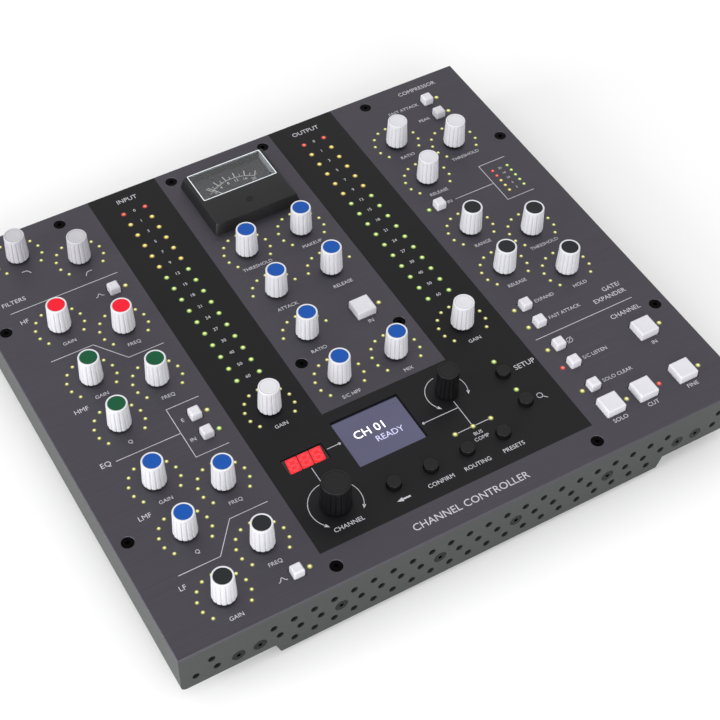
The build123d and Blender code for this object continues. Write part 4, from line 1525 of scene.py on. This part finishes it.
@dataclass
class Casing:
    """The CAD pieces that stay as they are and only get their finishes."""

    finishes: dict[str, object] = field(
        default_factory=lambda: {
            "top_plate": BrushedAnodisedPlate(),
            "base_tray": PowderCoat(),
            "control_board": Plastic.BOARD,
            "fixings": BlackOxideSteel(),
            "rubber_feet": Plastic.FOOT,
        }
    )

    def build(self, shop: Workshop) -> None:
        """Dresses each node."""
        for node, finish in self.finishes.items():
            shop.dress(node, finish)


@dataclass
class Studio:
    """A pale floor, soft light all round, and the camera."""

    lens: float = 83.27
    sensor: float = 36.0
    shift_x: float = 0.0459
    eye: tuple[float, float, float] = (-263.82, -462.03, 609.20)  # from the middle of the plate's top
    right: tuple[float, float, float] = (0.871470, -0.490449, -0.000101)
    down: tuple[float, float, float] = (-0.377241, -0.670181, -0.639176)
    forward: tuple[float, float, float] = (0.313416, 0.557061, -0.769060)
    floor_half: float = 4000.0
    floor_colour: str = "#F4F4F4"
    sky_strength: float = 0.9

    def floor(self) -> None:
        """A wide pale sheet under the feet."""
        mesh = bpy.data.meshes.new("floor")
        h = self.floor_half * MM
        mesh.from_pydata([(-h, -h, 0), (h, -h, 0), (h, h, 0), (-h, h, 0)], [], [(0, 1, 2, 3)])
        sheet = bpy.data.objects.new("floor", mesh)
        bpy.context.scene.collection.objects.link(sheet)
        material, tree = new_material("matt_floor")
        shaded(tree, {"Base Color": linear(self.floor_colour), "Roughness": 0.9})
        mesh.materials.append(material)

    def lamp(self, name: str, place: tuple[float, float, float], size: float, power: float) -> None:
        """A square soft light, aimed at the object."""
        light = bpy.data.lights.new(name, "AREA")
        light.size = size
        light.energy = power
        holder = bpy.data.objects.new(name, light)
        bpy.context.scene.collection.objects.link(holder)
        target = Vector((0, 0, PLATE_TOP * MM))
        holder.location = Vector(place)
        holder.rotation_mode = "QUATERNION"
        holder.rotation_quaternion = (target - holder.location).to_track_quat("-Z", "Y")

    def sky(self) -> None:
        """An even white surround."""
        world = bpy.data.worlds.new("studio")
        bpy.context.scene.world = world
        world.use_nodes = True
        world.node_tree.nodes.clear()
        white = {"Color": (1.0, 1.0, 1.0, 1.0), "Strength": self.sky_strength}
        glow = add_node(world.node_tree, "ShaderNodeBackground", white)
        add_node(world.node_tree, "ShaderNodeOutputWorld", {"Surface": glow.outputs["Background"]})

    def camera(self) -> None:
        """The camera, from its place and the three directions of its view."""
        data = bpy.data.cameras.new("camera")
        data.lens = self.lens
        data.sensor_width = self.sensor
        data.shift_x = self.shift_x
        data.clip_start, data.clip_end = 0.01, 20.0
        camera = bpy.data.objects.new("camera", data)
        bpy.context.scene.collection.objects.link(camera)
        turn = Matrix((self.right, [-v for v in self.down], [-v for v in self.forward])).transposed().to_4x4()
        place = Vector(self.eye) * MM + Vector((0, 0, PLATE_TOP * MM))
        camera.matrix_world = Matrix.Translation(place) @ turn
        bpy.context.scene.camera = camera

    def build(self) -> None:
        """Sets up floor, lights and camera."""
        self.floor()
        self.sky()
        self.lamp("left_light", place=(-1.6, -0.1, 0.45), size=1.0, power=20.0)
        self.lamp("front_light", place=(-0.5, -1.6, 0.8), size=1.2, power=17.0)
        self.camera()


def main() -> None:
    """Builds the controller's visible pieces in order, then the studio."""
    logging.basicConfig(level=logging.INFO, format="%(name)s %(message)s")
    bpy.context.scene.view_settings.view_transform = "Standard"
    shop = Workshop()
    Casing().build(shop)
    knobs = KnobSet()
    knobs.build(shop)
    KeySet().build(shop)
    Lamps().build(shop, [name + "_knob" for name in knobs.colours()])
    PanelPrint().build(shop)
    Screen().build(shop)
    Digits().build(shop)
    NeedleMeter().build(shop)
    Studio().build()


if __name__ == "__main__":
    main()
